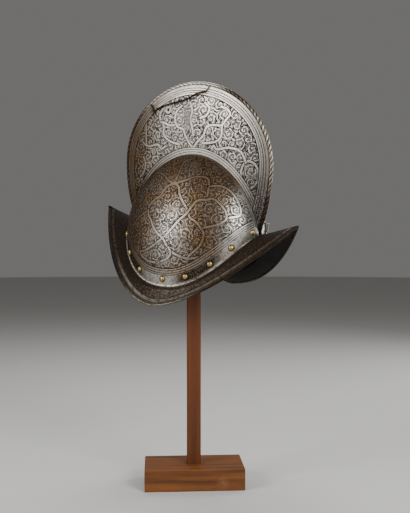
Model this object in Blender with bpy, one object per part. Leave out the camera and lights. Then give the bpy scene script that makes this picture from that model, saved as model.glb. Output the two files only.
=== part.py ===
"""Comb morion helmet of etched steel on a plain wooden display stand.

The helmet is raised from one plate: an oval bowl, a tall comb over its
ridge and a boat-shaped brim drawn up to a point at front and back.
The helmet's own frame has +X to the front point, +Y to the wearer's left and
+Z up, with its origin level with the sides of the root line, where the bowl
meets the brim. The stand's frame has its origin at the middle of the block's
underside, with the helmet's front towards -Y and the wearer's left towards +X.
All lengths are in metres.
"""

import math

import bmesh
import bpy
import numpy as np
from mathutils import Matrix, Vector
from mathutils.bvhtree import BVHTree

# Plate
PLATE = 0.0013              # thickness of the steel
TOUCH_GAP = 0.0003          # clearance between pieces that touch

# Bowl, from the root line up to the ridge under the comb
ROOT_HALF_LENGTH = 0.1130   # half the root line's length
ROOT_HALF_WIDTH = 0.0880    # half the root line's width
ROOT_END_RISE = 0.0750      # how far the root line climbs at front and back
ROOT_RISE_POWER = 2.3       # how late along each side it climbs
BOWL_HEIGHT = 0.1860        # ridge of the bowl above the side root line
RIDGE_POWER = 1.27          # fullness of the ridge seen from the side
SIDE_POWER = 1.15           # fullness of the bowl's sides
RISE_POWER = 1.10           # how fast the bowl's sides climb

# Brim
BRIM_HALF_LENGTH = 0.1750   # centre to either point
BRIM_HALF_WIDTH = 0.1100    # centre to the edge at the side
BRIM_SIDE_DROP = 0.0277     # edge at the side below the root line
BRIM_POINT_RISE = 0.0934    # points above the side root line
BRIM_RISE_POWER = 1.74      # how late along each side the edge climbs
BRIM_HOLLOW = 0.0015        # sag of the brim between root and edge
BRIM_BEAD_RADIUS = 0.0018   # turned and roped edge

# Comb
COMB_HALF_LENGTH = 0.1334   # widest half length of the comb
COMB_TOP = 0.2929           # top of the comb above the side root line
COMB_WIDEST = 0.1705        # height of its widest place
COMB_FORWARD = 0.0041       # its centre ahead of the bowl's centre
COMB_FOOT_DEPTH = 0.1890    # depth of the outline's lower half, if it went on
COMB_BASE_HALF = 0.0100     # half thickness where it leaves the bowl
COMB_BEAD_RADIUS = 0.0030   # roped edge
COMB_EDGE_WALL = 0.0075     # closed margin round the hollow of the comb
COMB_PILLOW = 2.2           # roundness of the comb's sides

# Small hole worn through the left side of the comb
WORN_HOLE_RADIUS = 0.0008
WORN_HOLE_FORWARD = 0.0532  # ahead of the bowl's centre
WORN_HOLE_HEIGHT = 0.2509   # above the side root line

# Brass rivets of the lining, in degrees round the root line from the front
RIVET_TURNS = (13.0, 32.0, 49.8, 68.2, 92.5, 111.2, 130.0, 147.5, 168.0)
RIVET_RISE = 0.0088         # centre of each rivet above the root line
RIVET_HEAD_RADIUS = 0.0040
RIVET_HEAD_HEIGHT = 0.0026
RIVET_SHANK_RADIUS = 0.0016
RIVET_BURR_RADIUS = 0.0028
RIVET_BURR_HEIGHT = 0.0009
RIVET_SIDES = 10

# Plume holder: a small socket standing on the brim behind the bowl, right of the comb
HOLDER_BACK = 0.0040        # its foot behind the root line's back end
HOLDER_SIDE = 0.0092        # its foot to the right of the middle plane
HOLDER_LENGTH = 0.0175
HOLDER_TOP_RADIUS = 0.0036
HOLDER_FOOT_RADIUS = 0.0026
HOLDER_WALL = 0.0008
HOLDER_BOSS_RADIUS = 0.0038
HOLDER_BOSS_HEIGHT = 0.0032
HOLDER_LEAN = 4.0           # degrees, top away from the bowl
HOLDER_SIDES = 20

# Stand
BLOCK_LENGTH = 0.1480
BLOCK_DEPTH = 0.0820
BLOCK_HEIGHT = 0.0320
BLOCK_TURN = -52.7          # degrees from the helmet's side to side line
BLOCK_EASE = 0.0008         # eased edges
POST_SIDE = 0.0205
POST_TENON = 0.0150         # length let into the block
HEAD_RADIUS = 0.0420        # domed support inside the bowl
HEAD_DOME = 0.0160          # height of its dome
HEAD_RIM = 0.0120           # thickness at its rim

# How the helmet sits on the stand
BALANCE_RISE = 0.1350       # the point of its axis that the stand places
BALANCE_HEIGHT = 0.4466     # that point above the block's underside
BALANCE_OFFSET = (-0.0027, 0.0042)
FRONT_UP = 6.4              # degrees, front point raised
LEFT_DOWN = 6.25            # degrees, wearer's left side lowered

# Mesh density
COLUMNS = 42                # from the front point to the back one, per side
BOWL_ROWS = 10
COMB_ROWS = 6
BRIM_ROWS = 3
COMB_ROWS_INSIDE = 4


def clear_scene():
    """Remove whatever the file opened with."""
    for item in list(bpy.data.objects):
        bpy.data.objects.remove(item, do_unlink=True)


def material(name, colour, roughness, metallic):
    """Return a Principled material of one colour."""
    made = bpy.data.materials.new(name)
    made.use_nodes = True
    shader = made.node_tree.nodes["Principled BSDF"]
    shader.inputs["Base Color"].default_value = (*colour, 1.0)
    shader.inputs["Roughness"].default_value = roughness
    shader.inputs["Metallic"].default_value = metallic
    made.diffuse_color = (*colour, 1.0)
    return made


def add_object(name, mesh, finish, parent=None):
    """Link one object with its material and, if given, its parent."""
    made = bpy.data.objects.new(name, mesh)
    bpy.context.scene.collection.objects.link(made)
    if finish and not mesh.materials:
        mesh.materials.append(finish)
    made.parent = parent
    return made


def unit(vector):
    """Return the vector with a length of one."""
    return vector / np.linalg.norm(vector)


# The helmet's surfaces. A turn of 0 is the front point, a half turn the back.

def root_point(turn, inset=0.0):
    """Point of the root line on the wearer's left."""
    c, s = math.cos(turn), math.sin(turn)
    rise = ROOT_END_RISE * abs(c) ** ROOT_RISE_POWER
    return np.array([(ROOT_HALF_LENGTH - inset) * c, (ROOT_HALF_WIDTH - inset) * s, rise - 0.9 * inset])


def edge_point(turn):
    """Outermost point of the brim on the wearer's left."""
    c, s = math.cos(turn), math.sin(turn)
    climb = BRIM_SIDE_DROP + BRIM_POINT_RISE
    rise = climb * abs(c) ** BRIM_RISE_POWER - BRIM_SIDE_DROP
    return np.array([BRIM_HALF_LENGTH * c, BRIM_HALF_WIDTH * s * s, rise])


def end_taper(turn, power):
    """Share of a thickness that is left towards the ends of the comb."""
    return max(math.sin(turn), 0.0) ** power


def ridge_point(turn, inset=0.0):
    """Point where the bowl turns up into the comb's left side."""
    c, s = math.cos(turn), max(math.sin(turn), 0.0)
    foot = root_point(turn, inset)
    end_rise = ROOT_END_RISE - 0.9 * inset
    rise = end_rise + (BOWL_HEIGHT - inset - end_rise) * s ** RIDGE_POWER
    power = 0.5 if inset else 0.3
    half = (COMB_BASE_HALF - inset) * end_taper(turn, power)
    return np.array([(ROOT_HALF_LENGTH - inset) * c, half, max(rise, foot[2])])


def bowl_point(turn, climb, inset=0.0):
    """Point of the bowl, with climb from 0 at the root to 1 at the ridge."""
    low, high = root_point(turn, inset), ridge_point(turn, inset)
    angle = climb * math.pi / 2.0
    across = low[1] * max(math.cos(angle), 0.0) ** SIDE_POWER + high[1] * math.sin(angle)
    rise = low[2] + (high[2] - low[2]) * math.sin(angle) ** RISE_POWER
    return np.array([low[0], across, rise])


def comb_edge(turn, inset=0.0, root_inset=0.0):
    """Point of the comb's outline in its middle plane."""
    c = math.cos(turn)
    end = root_point(0.0, root_inset)
    foot = math.asin((COMB_WIDEST - end[2]) / COMB_FOOT_DEPTH)
    angle = math.pi / 2.0 - (math.pi / 2.0 + foot) * c
    reach = COMB_HALF_LENGTH - inset
    up = COMB_TOP - COMB_WIDEST - inset
    down = COMB_FOOT_DEPTH
    rise = COMB_WIDEST + (up if math.sin(angle) > 0 else down) * math.sin(angle)
    along = COMB_FORWARD + reach * math.cos(angle)
    foot_along = COMB_FORWARD + math.copysign(reach * math.cos(foot), c)
    pull = math.copysign(end[0], c) - foot_along
    return np.array([along + pull * abs(c) ** 16, 0.0, rise])


def edge_normal(turn):
    """Direction out of the comb's outline, in its middle plane."""
    step = 0.01
    low, high = max(turn - step, 0.0), min(turn + step, math.pi)
    run = comb_edge(high) - comb_edge(low)
    return unit(np.array([run[2], 0.0, -run[0]]))


def bead_radius(turn):
    """Radius of the comb's roped edge, which dies away at its ends."""
    return COMB_BEAD_RADIUS * end_taper(turn, 0.15)


def comb_bead(turn, angle):
    """Point on the comb's roped edge, at an angle from its outermost line."""
    radius = bead_radius(turn)
    out = edge_normal(turn)
    centre = comb_edge(turn) - out * radius
    return centre + out * radius * math.cos(angle) + np.array([0.0, radius * math.sin(angle), 0.0])


def comb_point(turn, climb, inside=False):
    """Point of the comb's left side, with climb from 0 at the bowl to 1 at the edge."""
    if inside:
        low = ridge_point(turn, PLATE)
        high = comb_edge(turn, COMB_EDGE_WALL, PLATE)
    else:
        low = ridge_point(turn)
        high = comb_bead(turn, math.radians(140.0))
    place = low + (high - low) * climb
    place[1] = high[1] + (low[1] - high[1]) * (1.0 - climb ** COMB_PILLOW)
    return place


def brim_frame(turn):
    """Outward direction and upper normal at the edge of the brim."""
    step = 0.004
    low, high = turn - step, turn + step
    run = edge_point(min(high, math.pi)) - edge_point(max(low, 0.0))
    if turn < step or turn > math.pi - step:
        run = np.array([0.0, -1.0 if turn < 1.0 else 1.0, 0.0]) * -1.0
    run = unit(run)
    span = edge_point(turn) - root_point(turn)
    out = unit(span - run * float(np.dot(span, run)))
    return out, unit(np.cross(out, run)) * (1.0 if np.cross(out, run)[2] > 0 else -1.0)


def brim_bead(turn, angle):
    """Point on the brim's turned edge, at an angle above its outermost line."""
    out, up = brim_frame(turn)
    centre = edge_point(turn) - out * BRIM_BEAD_RADIUS
    return centre + (out * math.cos(angle) + up * math.sin(angle)) * BRIM_BEAD_RADIUS


def brim_point(turn, reach, under=False):
    """Point of the brim's face, with reach from 0 at the root to 1 at the edge."""
    start = root_point(turn, PLATE if under else 0.0)
    join = math.radians(-157.0 if under else 157.0)
    place = start + (brim_bead(turn, join) - start) * reach
    sag = BRIM_HOLLOW * math.sin(turn) ** 2 * 4.0 * reach * (1.0 - reach)
    return place - brim_frame(turn)[1] * sag


def column(turn):
    """One strip of the plate, from the comb's hollow round to its edge."""
    points = [comb_point(turn, 1.0 - k / COMB_ROWS_INSIDE, True) for k in range(COMB_ROWS_INSIDE)]
    points += [bowl_point(turn, 1.0 - k / BOWL_ROWS, PLATE) for k in range(BOWL_ROWS)]
    points += [brim_point(turn, k / BRIM_ROWS, True) for k in range(BRIM_ROWS)]
    points += [brim_bead(turn, math.radians(a)) for a in (-157.0, -110.0, -60.0, 0.0, 60.0, 110.0)]
    points += [brim_point(turn, 1.0 - k / BRIM_ROWS) for k in range(BRIM_ROWS)]
    points += [bowl_point(turn, k / BOWL_ROWS) for k in range(BOWL_ROWS)]
    points += [comb_point(turn, k / COMB_ROWS) for k in range(COMB_ROWS)]
    points += [comb_bead(turn, math.radians(a)) for a in (140.0, 100.0, 60.0, 0.0)]
    return points


def plate_mesh():
    """Closed skin of the whole plate, both sides."""
    build = bmesh.new()
    known = {}

    def vertex(place):
        key = tuple(round(float(v), 7) for v in place)
        if key not in known:
            known[key] = build.verts.new(place)
        return known[key]

    strips = [column(math.pi * j / COLUMNS) for j in range(COLUMNS + 1)]
    for end in (0, COLUMNS):
        for place in strips[end]:
            place[1] = 0.0
    for side in (1.0, -1.0):
        grid = [[vertex((p[0], abs(p[1]) * side, p[2])) for p in strip] for strip in strips]
        for j in range(COLUMNS):
            for i in range(len(grid[j]) - 1):
                ring = [grid[j][i], grid[j + 1][i], grid[j + 1][i + 1], grid[j][i + 1]]
                corners = [v for k, v in enumerate(ring) if v is not ring[k - 1]]
                if len(set(corners)) > 2:
                    build.faces.new(corners if side > 0 else corners[::-1])
    bmesh.ops.triangulate(build, faces=[f for f in build.faces if len(f.verts) > 3])
    bmesh.ops.recalc_face_normals(build, faces=build.faces)
    mesh = bpy.data.meshes.new("shell")
    build.to_mesh(mesh)
    build.free()
    return mesh


def seat_frame(turn, rise, side):
    """Place on the bowl's outside, with its Z axis along the normal and X upwards."""
    low, high = root_point(turn), ridge_point(turn)
    climb = math.asin(min(rise / (high[2] - low[2]), 0.98) ** (1.0 / RISE_POWER)) / (math.pi / 2.0)
    step = 0.004
    along = bowl_point(turn + step, climb) - bowl_point(turn - step, climb)
    up = unit(bowl_point(turn, climb + step) - bowl_point(turn, climb - step))
    out = unit(np.cross(up, along))
    place = bowl_point(turn, climb)
    if np.dot(out, place - np.array([0.0, 0.0, place[2]])) < 0:
        out = -out
    frame = Matrix.Identity(4)
    for axis, vector in enumerate((up, np.cross(out, up), out, place)):
        frame.col[axis][:3] = (vector[0], vector[1] * side, vector[2])
    if side < 0:
        for row in range(3):
            frame[row][1] *= -1.0
    return frame


def plate_tree(shell):
    """Search tree of the plate before it is pierced, in the helmet's frame."""
    plate = shell.data
    return BVHTree.FromPolygons([v.co.copy() for v in plate.vertices], [list(p.vertices) for p in plate.polygons])


def seat_on_plate(tree, frame):
    """Move a seat onto the plate's outer face, and return the plate's thickness there."""
    out = frame.col[2].to_3d()
    start = frame.translation + out * 3.0 * PLATE
    outside = tree.ray_cast(start, -out)[0]
    inside = tree.ray_cast(outside - out * 0.2 * PLATE, -out)[0]
    seated = frame.copy()
    seated.translation = outside
    return seated, (outside - inside).length


def turned_mesh(name, profile, sides):
    """Closed round solid from a list of radius and height pairs."""
    build = bmesh.new()
    rings = []
    for radius, height in profile:
        if radius <= 0.0:
            rings.append([build.verts.new((0.0, 0.0, height))])
            continue
        ring = []
        for k in range(sides):
            angle = 2.0 * math.pi * k / sides
            ring.append(build.verts.new((radius * math.cos(angle), radius * math.sin(angle), height)))
        rings.append(ring)
    for low, high in zip(rings, rings[1:]):
        for k in range(sides):
            corners = [low[k % len(low)], low[(k + 1) % len(low)], high[(k + 1) % len(high)], high[k % len(high)]]
            corners = [v for n, v in enumerate(corners) if v is not corners[n - 1]]
            build.faces.new(corners)
    for ring, flip in ((rings[0], True), (rings[-1], False)):
        if len(ring) > 1:
            build.faces.new(ring[::-1] if flip else ring)
    bmesh.ops.recalc_face_normals(build, faces=build.faces)
    mesh = bpy.data.meshes.new(name)
    build.to_mesh(mesh)
    build.free()
    mesh.shade_smooth()
    mesh.set_sharp_from_angle(angle=math.radians(40.0))
    return mesh


def rivet_profile(wall):
    """Radius and height pairs of a rivet, from its burr inside to its head outside."""
    reach = wall + 2.0 * TOUCH_GAP
    dome = [(RIVET_HEAD_RADIUS * math.cos(a), RIVET_HEAD_HEIGHT * math.sin(a))
            for a in (0.0, 0.45, 0.95)]
    return ([(RIVET_BURR_RADIUS * 0.8, -reach - RIVET_BURR_HEIGHT), (RIVET_BURR_RADIUS, -reach),
             (RIVET_SHANK_RADIUS, -reach), (RIVET_SHANK_RADIUS, 0.0)]
            + dome + [(0.0, RIVET_HEAD_HEIGHT)])


def add_cutter(name, mesh, parent, frame):
    """Link a tool that only cuts: it is drawn as wire and never rendered."""
    tool = add_object(name, mesh, None, parent)
    tool.matrix_local = frame
    tool.hide_render = True
    tool.display_type = "WIRE"
    return tool


def cut(target, tool, operation="DIFFERENCE"):
    """Add a Boolean modifier."""
    step = target.modifiers.new(tool.name, "BOOLEAN")
    step.operation = operation
    step.solver = "EXACT"
    step.object = tool


def rivet_places():
    """Turn and side of every rivet; the holder takes the place of the last one on the right."""
    places = [(turn, 1.0) for turn in RIVET_TURNS]
    return places + [(turn, -1.0) for turn in RIVET_TURNS[:-1]]


def add_shell(parent, finish):
    """The steel plate: bowl, comb and brim in one, pierced for its rivets."""
    shell = add_object("shell", plate_mesh(), finish, parent)
    drill = bmesh.new()
    for turn, side in rivet_places():
        frame = seat_frame(math.radians(turn), RIVET_RISE, side)
        bmesh.ops.create_cone(drill, cap_ends=True, segments=RIVET_SIDES, depth=8.0 * PLATE,
                              radius1=RIVET_SHANK_RADIUS + TOUCH_GAP,
                              radius2=RIVET_SHANK_RADIUS + TOUCH_GAP, matrix=frame)
    hole = Matrix.Translation((WORN_HOLE_FORWARD, COMB_BASE_HALF, WORN_HOLE_HEIGHT))
    hole = hole @ Matrix.Rotation(math.pi / 2.0, 4, "X")
    bmesh.ops.create_cone(drill, cap_ends=True, segments=8, depth=COMB_BASE_HALF * 1.6,
                          radius1=WORN_HOLE_RADIUS, radius2=WORN_HOLE_RADIUS, matrix=hole)
    bmesh.ops.recalc_face_normals(drill, faces=drill.faces)
    mesh = bpy.data.meshes.new("rivet_drill")
    drill.to_mesh(mesh)
    drill.free()
    cut(shell, add_cutter("rivet_drill", mesh, parent, Matrix.Identity(4)))
    shell.data.shade_smooth()
    shell.data.set_sharp_from_angle(angle=math.radians(35.0))
    return shell


def add_rivets(shell, parent, finish):
    """Domed brass rivets that held the lining."""
    tree = plate_tree(shell)
    seats = [seat_on_plate(tree, seat_frame(math.radians(turn), RIVET_RISE, side))
             for turn, side in rivet_places()]
    mesh = turned_mesh("rivet", rivet_profile(max(wall for _, wall in seats)), RIVET_SIDES)
    for number, (seat, _) in enumerate(seats, 1):
        rivet = add_object(f"rivet_{number:02d}", mesh, finish, parent)
        rivet.matrix_local = seat @ Matrix.Translation((0.0, 0.0, TOUCH_GAP))


def holder_seat(shell):
    """Point of the brim's upper face under the plume holder, and the face's normal."""
    start = Vector((-ROOT_HALF_LENGTH - HOLDER_BACK, -HOLDER_SIDE, ROOT_END_RISE + HOLDER_LENGTH))
    place, normal, _, _ = plate_tree(shell).ray_cast(start, Vector((0.0, 0.0, -1.0)))
    return place, normal


def add_holder(shell, parent, finish):
    """Tapered open socket for a plume, on a round boss that sits on the brim."""
    place, normal = holder_seat(shell)
    height = HOLDER_BOSS_HEIGHT
    boss = turned_mesh("plume_holder", [(HOLDER_BOSS_RADIUS, 0.0), (HOLDER_BOSS_RADIUS, height * 0.35),
                                        (HOLDER_FOOT_RADIUS, height)], HOLDER_SIDES)
    holder = add_object("plume_holder", boss, finish, parent)
    holder.matrix_local = (Matrix.Translation(place + normal * 2.0 * TOUCH_GAP)
                           @ normal.to_track_quat("Z", "Y").to_matrix().to_4x4())
    low = HOLDER_FOOT_RADIUS
    inner_low, inner_top = low - HOLDER_WALL, HOLDER_TOP_RADIUS - HOLDER_WALL
    tube = turned_mesh("holder_tube", [(low, 0.0), (HOLDER_TOP_RADIUS, HOLDER_LENGTH), (inner_top, HOLDER_LENGTH),
                                       (inner_low, height), (0.0, height)], HOLDER_SIDES)
    seat = (Matrix.Translation(place + normal * height * 0.6)
            @ Matrix.Rotation(math.radians(-HOLDER_LEAN), 4, "Y"))
    cut(holder, add_cutter("holder_tube", tube, parent, seat), "UNION")
    return holder


def eased_block(name, size, ease, low):
    """Block with its underside at the given height and eased edges."""
    build = bmesh.new()
    bmesh.ops.create_cube(build, size=1.0)
    for v in build.verts:
        v.co = Vector((v.co.x * size[0], v.co.y * size[1], (v.co.z + 0.5) * size[2] + low))
    if ease:
        bmesh.ops.bevel(build, geom=build.edges[:], offset=ease, segments=2, affect="EDGES", profile=0.5)
    mesh = bpy.data.meshes.new(name)
    build.to_mesh(mesh)
    build.free()
    return mesh


def head_height(shell, low_corner, high_corner):
    """Height of the domed head's rim that just clears the inside of the bowl."""
    surface = shell.data
    place = shell.matrix_world
    tree = BVHTree.FromPolygons([place @ v.co for v in surface.vertices],
                                [list(p.vertices) for p in surface.polygons])
    best = math.inf
    for ring in range(25):
        radius = HEAD_RADIUS * ring / 24.0
        rise = dome_rise(radius)
        for k in range(72):
            angle = 2.0 * math.pi * k / 72
            start = Vector((radius * math.cos(angle), radius * math.sin(angle), low_corner))
            hit = tree.ray_cast(start, Vector((0.0, 0.0, 1.0)), high_corner)[0]
            if hit is not None:
                best = min(best, hit.z - rise)
    return best - TOUCH_GAP


def dome_rise(radius):
    """Height of the domed head above its rim, at a radius from the post's axis."""
    ball = (HEAD_RADIUS ** 2 + HEAD_DOME ** 2) / (2.0 * HEAD_DOME)
    return math.sqrt(ball ** 2 - radius ** 2) - ball + HEAD_DOME


def add_stand(shell, finish_block, finish_post):
    """Block, square post let into it, and a plain domed head under the bowl."""
    turn = Matrix.Rotation(math.radians(BLOCK_TURN), 4, "Z")
    block = add_object("stand_block", eased_block("stand_block", (BLOCK_LENGTH, BLOCK_DEPTH, BLOCK_HEIGHT),
                                                  BLOCK_EASE, 0.0), finish_block)
    block.matrix_local = turn
    pocket_side = POST_SIDE + 2.0 * TOUCH_GAP
    pocket = eased_block("post_pocket", (pocket_side, pocket_side, POST_TENON + BLOCK_HEIGHT), 0.0,
                         BLOCK_HEIGHT - POST_TENON)
    cut(block, add_cutter("post_pocket", pocket, None, turn))

    rim = head_height(shell, BALANCE_HEIGHT - BALANCE_RISE, BALANCE_HEIGHT)
    foot = BLOCK_HEIGHT - POST_TENON + TOUCH_GAP
    under = rim - HEAD_RIM
    post = add_object("stand_post", eased_block("stand_post", (POST_SIDE, POST_SIDE, under + HEAD_RIM / 2.0 - foot),
                                                BLOCK_EASE, foot), finish_post)
    post.matrix_local = turn
    profile = [(HEAD_RADIUS * 0.8, under), (HEAD_RADIUS, under + HEAD_RIM * 0.5), (HEAD_RADIUS, rim)]
    for share in (0.8, 0.6, 0.4, 0.2):
        profile.append((HEAD_RADIUS * share, rim + dome_rise(HEAD_RADIUS * share)))
    profile.append((0.0, rim + HEAD_DOME))
    cut(post, add_cutter("post_head", turned_mesh("post_head", profile, 28), None, turn), "UNION")
    return post


def add_helmet_frame():
    """Empty that holds the helmet as the stand does: tilted back and leaning to its left."""
    frame = bpy.data.objects.new("helmet_frame", None)
    bpy.context.scene.collection.objects.link(frame)
    tilt = (Matrix.Rotation(math.radians(-90.0), 4, "Z") @ Matrix.Rotation(math.radians(-FRONT_UP), 4, "Y")
            @ Matrix.Rotation(math.radians(-LEFT_DOWN), 4, "X"))
    balance = Matrix.Translation((*BALANCE_OFFSET, BALANCE_HEIGHT))
    frame.matrix_world = balance @ tilt @ Matrix.Translation((0.0, 0.0, -BALANCE_RISE))
    return frame


def main():
    """Build the helmet and its stand."""
    clear_scene()
    steel = material("etched_steel", (0.36, 0.34, 0.31), 0.42, 1.0)
    brass = material("brass", (0.62, 0.45, 0.19), 0.38, 1.0)
    holder_steel = material("holder_steel", (0.52, 0.50, 0.46), 0.40, 1.0)
    block_wood = material("block_wood", (0.30, 0.145, 0.062), 0.55, 0.0)
    post_wood = material("post_wood", (0.24, 0.095, 0.040), 0.50, 0.0)
    helmet = add_helmet_frame()
    bpy.context.view_layer.update()
    shell = add_shell(helmet, steel)
    add_rivets(shell, helmet, brass)
    add_holder(shell, helmet, holder_steel)
    bpy.context.view_layer.update()
    add_stand(shell, block_wood, post_wood)
    bpy.context.view_layer.update()


main()
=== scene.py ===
"""Comb morion helmet on a plain wooden stand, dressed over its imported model.

The helmet is one steel plate with a bowl, a tall comb and a pointed brim. It is etched all over with
interlaced straps and leaf scrolls, roped along its edges and set round with brass rivets. Every place is
worked out from the same sizes as the plate itself, in metres, in the frame of the stand.
"""

import logging
import math
from dataclasses import dataclass
from enum import Enum
from typing import Any, Optional, Sequence

import bmesh
import bpy
import numpy as np
from mathutils import Matrix, Vector
from mathutils.bvhtree import BVHTree


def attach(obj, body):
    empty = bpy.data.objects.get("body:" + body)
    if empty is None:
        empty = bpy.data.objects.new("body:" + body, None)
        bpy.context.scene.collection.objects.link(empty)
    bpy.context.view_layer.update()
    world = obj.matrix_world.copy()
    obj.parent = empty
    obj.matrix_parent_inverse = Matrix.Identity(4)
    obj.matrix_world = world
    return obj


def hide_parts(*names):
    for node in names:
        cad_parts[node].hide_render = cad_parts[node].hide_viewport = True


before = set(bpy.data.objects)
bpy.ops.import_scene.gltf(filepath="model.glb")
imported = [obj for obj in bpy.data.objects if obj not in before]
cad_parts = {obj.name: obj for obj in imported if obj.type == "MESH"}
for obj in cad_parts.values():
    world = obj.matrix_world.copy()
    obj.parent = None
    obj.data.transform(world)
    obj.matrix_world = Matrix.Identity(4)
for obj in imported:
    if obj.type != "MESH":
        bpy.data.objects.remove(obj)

Array = np.ndarray
Point = tuple[float, float, float]
Piece = bpy.types.Object
Material = bpy.types.Material
Tree = bpy.types.NodeTree
Node = bpy.types.Node
Socket = bpy.types.NodeSocket
log = logging.getLogger("morion")

BODY = "root"
MM = 0.001
RIVET_NODES = tuple(f"rivet_{number:02d}" for number in range(1, 18))
# Points closer than this, in metres, become one
WELD = 1e-6
# Degrees between two faces of a ring solid past which their edge stays sharp
SHARP_ANGLE = 42.0
# Points that are compared with a line at once, which holds the table of distances down
CHUNK = 20000
# Distance in millimetres that stands for no strap in reach
NO_STRAP = 20.0


class Side(Enum):
    """Wearer's side of the helmet, as the sign of its Y axis."""

    LEFT = 1.0
    RIGHT = -1.0


class Slot(Enum):
    """Material slots of the record, one for each kind of new piece."""

    STEEL = "etched_steel"
    BRASS = "brass"
    HOLDER = "holder_steel"


# Helpers for colours, nodes and meshes


def linear(code: str) -> tuple[float, float, float, float]:
    """Turn an sRGB hex colour into linear RGBA.

    Args:
        code: Colour such as "#B8B5AE".

    Returns:
        Linear red, green and blue, and an alpha of one.
    """
    parts = [int(code[k:k + 2], 16) / 255.0 for k in (1, 3, 5)]
    made = [p / 12.92 if p <= 0.04045 else ((p + 0.055) / 1.055) ** 2.4 for p in parts]
    return made[0], made[1], made[2], 1.0


def add_node(tree: Tree, kind: str, *inputs: Any, named: Optional[dict[Any, Any]] = None, **settings: Any) -> Node:
    """Add one node with its settings and links.

    Args:
        tree: Tree that the node goes into.
        kind: Blender's name of the node's type.
        inputs: Values, sockets or nodes for the first sockets in order; None leaves a socket alone.
        named: The same for sockets by name or number.
        settings: Properties of the node.

    Returns:
        The new node.
    """
    node = tree.nodes.new(kind)
    for name, value in settings.items():
        setattr(node, name, value)
    wanted = {k: v for k, v in enumerate(inputs) if v is not None}
    wanted.update(named or {})
    for key, value in wanted.items():
        source = value.outputs[0] if isinstance(value, Node) else value
        if isinstance(source, Socket):
            tree.links.new(source, node.inputs[key])
        else:
            node.inputs[key].default_value = source
    return node


def start_material(name: str) -> tuple[Material, Tree, Node]:
    """Start a material with a plain shader.

    Args:
        name: Name of the material.

    Returns:
        The material, its tree, and its shader.
    """
    made = bpy.data.materials.new(name)
    made.use_nodes = True
    return made, made.node_tree, made.node_tree.nodes["Principled BSDF"]


def start_tree(name: str, inputs: dict[str, str]) -> tuple[Tree, bpy.types.NodeOutputs]:
    """Start a Geometry Nodes tree that takes and gives geometry.

    Args:
        name: Name of the tree.
        inputs: Name of each further input, and its kind, such as "Float".

    Returns:
        The tree, and the sockets that bring its inputs in.
    """
    tree = bpy.data.node_groups.new(name, "GeometryNodeTree")
    for label, kind in {"Geometry": "Geometry", **inputs}.items():
        tree.interface.new_socket(label, in_out="INPUT", socket_type=f"NodeSocket{kind}")
    tree.interface.new_socket("Geometry", in_out="OUTPUT", socket_type="NodeSocketGeometry")
    return tree, add_node(tree, "NodeGroupInput").outputs


def smooth(value: Array, low: float, high: float) -> Array:
    """Ease from 0 at low to 1 at high."""
    share = np.clip((value - low) / (high - low), 0.0, 1.0)
    return share * share * (3.0 - 2.0 * share)


def bump(value: Array, centre: float, width: float | Array) -> Array:
    """Bell of height one round a centre."""
    return np.exp(-((value - centre) / width) ** 2)


def unit(vectors: Array) -> Array:
    """Scale vectors to a length of one."""
    return vectors / np.maximum(np.linalg.norm(vectors, axis=-1, keepdims=True), 1e-12)


def mirrored(points: Array, sign: float | Array) -> Array:
    """Multiply the Y of points by a sign, which is 1 on the wearer's left and -1 on the right."""
    return points * np.stack(np.broadcast_arrays(1.0, sign, 1.0), -1)


def fold(around: Array) -> tuple[Array, Array]:
    """Part a whole circuit into the turn along one side of the helmet and that side's sign."""
    right = around > math.pi
    return np.where(right, 2.0 * math.pi - around, around), np.where(right, -1.0, 1.0)


def nearest(points: Array, line: Array) -> Array:
    """Distance from each point to the nearest sample of a line.

    Args:
        points: Places, one a row.
        line: Samples of the line, one a row, in the same unit.

    Returns:
        The distances.
    """
    gaps = np.empty(len(points))
    squares = (line ** 2).sum(1)
    for start in range(0, len(points), CHUNK):
        part = points[start:start + CHUNK]
        table = squares[None, :] - 2.0 * part @ line.T
        gaps[start:start + CHUNK] = np.linalg.norm(part - line[table.argmin(1)], axis=1)
    return gaps


def smooth_line(points: Sequence[Sequence[float]], steps: int = 14) -> Array:
    """Run a smooth line through a few points.

    Args:
        points: The points, in order.
        steps: Samples for each stretch.

    Returns:
        Samples of the line, one a row.
    """
    known = np.array(points, dtype=float)
    ends = np.vstack([2.0 * known[0] - known[1], known, 2.0 * known[-1] - known[-2]])
    share = np.linspace(0.0, 1.0, steps, endpoint=False)[:, None]
    made = []
    for a, b, c, d in zip(ends, ends[1:], ends[2:], ends[3:]):
        made.append(0.5 * (2.0 * b + (c - a) * share + (2.0 * a - 5.0 * b + 4.0 * c - d) * share ** 2
                           + (3.0 * b - a - 3.0 * c + d) * share ** 3))
    return np.vstack(made + [known[-1:]])


def link(name: str, data: bpy.types.ID) -> Piece:
    """Make an object and link it to the scene.

    Args:
        name: Name of the object.
        data: Its mesh, curve, light or camera.

    Returns:
        The object, at the origin.
    """
    made = bpy.data.objects.new(name, data)
    bpy.context.scene.collection.objects.link(made)
    return made


def store(mesh: bpy.types.Mesh, label: str, values: Array) -> None:
    """Keep values on the points of a mesh.

    Args:
        mesh: The mesh.
        label: Name of the attribute.
        values: A number or a vector for each point.
    """
    vector = values.size == 3 * len(mesh.vertices)
    layer = mesh.attributes.new(label, "FLOAT_VECTOR" if vector else "FLOAT", "POINT")
    layer.data.foreach_set("vector" if vector else "value", values.reshape(-1).astype(np.float32))


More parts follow.
